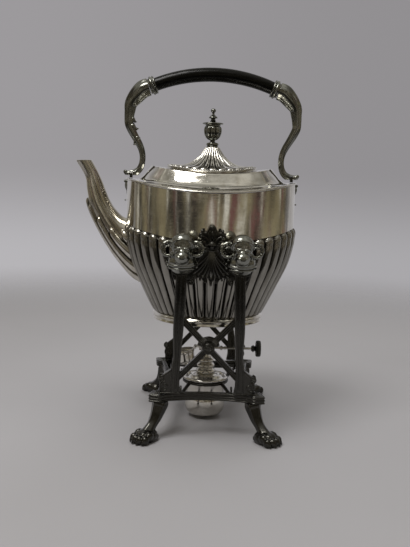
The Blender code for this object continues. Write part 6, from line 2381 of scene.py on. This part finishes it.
class KETTLE_OT_winder(bpy.types.Operator):
    """Build the wick winder's shaft and its knurled knob"""

    bl_idname = "kettle.winder"
    bl_label = "Wick winder"

    def execute(self, context):
        lamp = settings("lamp")
        low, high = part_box("winder_knob")
        length_now, radius = high.x - low.x, (high.z - low.z) / 2
        columns = lamp.knurls * 8
        rows = curve_through([(r, h) for r, h in KNOB_ROWS], 3)
        core = max(radius - lamp.knurl_rise, 0)
        rings = turned_rings([(core * max(r, 0.0), length_now * h) for r, h in rows], columns)
        ridged = [1.0 if 0.5 < h < 0.94 and r > 0.88 else 0.0 for r, h in rows]
        attributes = {
            "lobe_phase": [[k / 8 for k in range(columns)] for _ in rings],
            "lobe_fade": [[0.0] * columns for _ in rings],
            "lobe_share": [[share_now] * columns for share_now in ridged],
        }
        mesh = cleaned(lofted(rings, capped=False, attributes=attributes))
        tree = tree_named("reeding", reeding_tree)
        mesh = through_tree(mesh, tree, "dark_plate", Rise=lamp.knurl_rise)
        mesh.transform(Matrix.Rotation(math.pi / 2, 4, "Y"))
        moved(mesh, (low.x - AXIS_X, WINDER_OFFSET, WINDER_HEIGHT))
        piece("knurled_knob", mesh, "dark_plate", "winder", "winder_knob", crease=50.0)
        self.shaft()
        return {"FINISHED"}

    def shaft(self):
        low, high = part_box("winder_shaft")
        start, end = low.x - AXIS_X, high.x - AXIS_X
        radius = (high.z - low.z) / 2
        rows = [(0.0, start), (radius, start)]
        for at, swell, half in SHAFT_RINGS:
            rows += [
                (radius, at - half * 1.4),
                (radius * swell * 0.9, at - half),
                (radius * swell, at),
                (radius * swell * 0.9, at + half),
                (radius, at + half * 1.4),
            ]
        rows += [(radius, end), (0.0, end)]
        mesh = turned([(r, x - start) for r, x in rows], 36)
        mesh.transform(Matrix.Rotation(math.pi / 2, 4, "Y"))
        moved(mesh, (start, WINDER_OFFSET, WINDER_HEIGHT))
        piece("ringed_shaft", mesh, "lamp_plate", "winder", "winder_shaft")


# Studio


# What the photo's framing gives: focal length in pixels of a frame 547 high
FRAME_HEIGHT = 547
FOCAL_PIXELS = 700.0
SENSOR = 0.036
CAMERA_PLACE = (-0.0214, -0.7375, 0.2437)
CAMERA_YAW = 0.024
CAMERA_PITCH = -0.120
CAMERA_ROLL = 0.030
# How much of its brightness the backdrop keeps at its right side: a painted falloff of the light, which comes
# from the left
FAR_SIDE_SHARE = 0.85
# How far in front of the kettle the table ends, which is outside the picture
TABLE_EDGE = 0.33


class KETTLE_OT_studio(bpy.types.Operator):
    """Set up the floor, the backdrop, the lights and the camera"""

    bl_idname = "kettle.studio"
    bl_label = "Studio"

    def execute(self, context):
        self.floor()
        self.world(context.scene)
        self.lights()
        self.camera(context.scene)
        context.scene.view_settings.view_transform = "Standard"
        return {"FINISHED"}

    def floor(self):
        radius = settings("studio").floor_radius
        rings = turned_rings([(radius * k / 24, 0.0) for k in range(24, 0, -1)], 96)
        mesh = lofted(rings, capped=False)
        centre = mesh_from(rings[-1], [tuple(range(96))])
        mesh = joined([mesh, centre])
        mesh = cleaned(mesh)
        if mesh.polygons[0].normal.z < 0:
            mesh.flip_normals()
        floor = bpy.data.objects.new("floor", mesh)
        bpy.context.scene.collection.objects.link(floor)
        made = bpy.data.materials.new("floor_paper")
        made.use_nodes = True
        graph = Graph(made.node_tree)
        shader = made.node_tree.nodes["Principled BSDF"]
        place = graph.add("ShaderNodeTexCoord")["Object"]
        near = tuple(settings("studio").floor)
        cloud = graph.noise(place, 3.0, 3.0, 0.5).ramp(0.3, 0.7)
        graph.feed(shader, "Base Color", graph.mix(cloud, near, tuple(c * 0.96 for c in near)))
        shader.inputs["Roughness"].default_value = 0.85
        fibres = graph.noise(place, 700.0, 3.0, 0.6)
        graph.bump(shader, fibres, 0.15, 0.0003)
        out = made.node_tree.nodes["Material Output"]
        apart = graph.add("ShaderNodeSeparateXYZ", None, {"Vector": place})
        distance = (apart["X"] * apart["X"] + apart["Y"] * apart["Y"]) ** 0.5
        edge = (apart["Y"] * -1.0).ramp(TABLE_EDGE, TABLE_EDGE + 0.03)
        fade = distance.ramp(radius * 0.32, radius * 0.94).at_least(edge)
        clear = graph.add("ShaderNodeBsdfTransparent")["BSDF"]
        blend = graph.add("ShaderNodeMixShader", None, {"Fac": fade})
        made.node_tree.links.new(shader.outputs["BSDF"], blend.node.inputs[1])
        made.node_tree.links.new(clear.socket, blend.node.inputs[2])
        made.node_tree.links.new(blend.node.outputs[0], out.inputs["Surface"])
        mesh.materials.append(made)

    def world(self, scene):
        studio = settings("studio")
        world = bpy.data.worlds.new("studio_room")
        world.use_nodes = True
        scene.world = world
        graph = Graph(world.node_tree)
        background = world.node_tree.nodes["Background"]
        heading = graph.add("ShaderNodeTexCoord")["Generated"]
        axes = graph.add("ShaderNodeSeparateXYZ", None, {"Vector": heading})
        # Painted falloff of light on the backdrop: darker at its right side and towards its top
        across = axes["X"].ramp(-0.30, 0.30)
        low, middle, top = (
            graph.mix(across, tuple(shade), tuple(channel * FAR_SIDE_SHARE for channel in shade))
            for shade in (studio.backdrop_low, studio.backdrop, studio.backdrop_top)
        )
        backdrop = graph.mix(axes["Z"].ramp(-0.20, -0.13), low, middle)
        backdrop = graph.mix(axes["Z"].ramp(-0.10, 0.035), backdrop, top)
        azimuth = graph.math("ARCTAN2", axes["X"], axes["Y"] * -1.0)
        along = graph.add("ShaderNodeCombineXYZ", None, {"X": azimuth, "Y": axes["Z"] * 3.5})["Vector"]
        pale = graph.noise(graph.stretched(along, (1.0, 0.35, 1.0)), 5.0, 3.0, 0.6).ramp(0.52, 0.66)
        warm = graph.noise(along, 2.2, 3.0, 0.6).ramp(0.42, 0.60)
        red = graph.noise(along, 3.1, 2.0, 0.5).ramp(0.56, 0.64)
        room = graph.mix(warm, tuple(studio.room), tuple(studio.lamplight))
        room = graph.mix(red, room, tuple(studio.cloth))
        room = graph.mix(pale, room, tuple(studio.window))
        room = graph.mix((axes["Z"] * -1.0).ramp(0.05, 0.35), room, tuple(studio.room))
        facing = (axes["Y"] * -1.0).ramp(-0.80, -0.30)
        walls = graph.mix(facing, tuple(studio.backdrop), room)
        ceiling = graph.noise(heading, 2.4, 3.0, 0.6).ramp(0.40, 0.62)
        ceiling = graph.mix(ceiling, (0.30, 0.29, 0.26), (0.66, 0.64, 0.58))
        room = graph.mix(axes["Z"].ramp(0.50, 0.85), walls, ceiling)
        rays = graph.add("ShaderNodeLightPath")
        colour_now = graph.mix(rays["Is Camera Ray"], room, backdrop)
        graph.feed(background, "Color", colour_now)
        background.inputs["Strength"].default_value = 1.0

    def lights(self):
        studio = settings("studio")
        # Name, place, size across and up, watts and colour
        rows = (
            ("window", (-0.34, -0.38, 1.1), 0.40, 0.45, studio.key_power, (1.0, 0.985, 0.96)),
            ("soft_top", (0.10, -0.15, 1.2), 0.9, 0.7, studio.fill_power, (1.0, 1.0, 1.0)),
            ("rim_back", (0.3, 0.8, 0.9), 0.6, 0.5, studio.fill_power * 0.6, (0.96, 0.98, 1.0)),
        )
        for name, place, across, up, power, tint in rows:
            data = bpy.data.lights.new(name, "AREA")
            data.shape = "RECTANGLE"
            data.size, data.size_y = across, up
            data.energy = power
            data.color = tint
            light = bpy.data.objects.new(name, data)
            light.location = Vector(place) + Vector((AXIS_X, 0, 0))
            aim = Vector((AXIS_X, 0, 0.17)) - light.location
            light.rotation_euler = aim.to_track_quat("-Z", "Y").to_euler()
            light.visible_glossy = name == "window"
            bpy.context.scene.collection.objects.link(light)

    def camera(self, scene):
        data = bpy.data.cameras.new("photo_camera")
        data.sensor_fit = "AUTO"
        data.lens = 1000 * SENSOR * FOCAL_PIXELS / FRAME_HEIGHT
        data.sensor_width = 1000 * SENSOR
        data.clip_start = 0.01
        camera = bpy.data.objects.new("photo_camera", data)
        ahead = Vector(
            (
                math.sin(CAMERA_YAW) * math.cos(CAMERA_PITCH),
                math.cos(CAMERA_YAW) * math.cos(CAMERA_PITCH),
                math.sin(CAMERA_PITCH),
            )
        )
        right = Vector((math.cos(CAMERA_YAW), -math.sin(CAMERA_YAW), 0))
        up = right.cross(ahead)
        turn_right = math.cos(CAMERA_ROLL) * right + math.sin(CAMERA_ROLL) * up
        turn_up = -math.sin(CAMERA_ROLL) * right + math.cos(CAMERA_ROLL) * up
        matrix = Matrix((turn_right, turn_up, -ahead)).transposed().to_4x4()
        camera.matrix_world = Matrix.Translation(Vector(CAMERA_PLACE) + Vector((AXIS_X, 0, 0))) @ matrix
        scene.collection.objects.link(camera)
        scene.camera = camera


# Carried-over nodes


class KETTLE_OT_small_parts(bpy.types.Operator):
    """Give the CAD model's own small pieces their finishes"""

    bl_idname = "kettle.small_parts"
    bl_label = "Small parts"

    def execute(self, context):
        slots = {entry["node"]: entry["material_slot"] for entry in frame["record"]["subparts"]}
        finishes = {
            "silver_plate": "brushed_silver",
            "dark_plate": "dark_plate",
            "lamp_plate": "lamp_plate",
            "ebony": "ebony",
            "wick_cotton": "wick_cotton",
        }
        for name, obj in frame["nodes"].items():
            made = material(finishes[slots[name]])
            for slot in obj.material_slots:
                slot.material = made
        return {"FINISHED"}


class KETTLE_PT_panel(bpy.types.Panel):
    """The steps that build the kettle, in their order"""

    bl_label = "Spirit Kettle"
    bl_idname = "KETTLE_PT_panel"
    bl_space_type = "VIEW_3D"
    bl_region_type = "UI"
    bl_category = "Spirit Kettle"

    def draw(self, context):
        for group in SETTINGS:
            box = self.layout.box()
            box.label(text=group.capitalize())
            for name in SETTINGS[group].__annotations__:
                box.prop(getattr(context.scene.spirit_kettle, group), name)
        for step in STEPS:
            self.layout.operator(step.bl_idname)


STEPS = (
    KETTLE_OT_small_parts,
    KETTLE_OT_body,
    KETTLE_OT_shoulder,
    KETTLE_OT_lid,
    KETTLE_OT_spout,
    KETTLE_OT_handle,
    KETTLE_OT_frames,
    KETTLE_OT_heads,
    KETTLE_OT_base,
    KETTLE_OT_paws,
    KETTLE_OT_lamp,
    KETTLE_OT_cap,
    KETTLE_OT_winder,
    KETTLE_OT_studio,
)
CLASSES = (*SETTINGS.values(), SpiritKettleSettings, *STEPS, KETTLE_PT_panel)


def register():
    for cls in CLASSES:
        bpy.utils.register_class(cls)
    bpy.types.Scene.spirit_kettle = bpy.props.PointerProperty(type=SpiritKettleSettings)


def unregister():
    del bpy.types.Scene.spirit_kettle
    for cls in reversed(CLASSES):
        bpy.utils.unregister_class(cls)


def main():
    """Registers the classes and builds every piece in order."""
    register()
    for step in STEPS:
        group, action = step.bl_idname.split(".")
        getattr(getattr(bpy.ops, group), action)()


if __name__ == "__main__":
    main()
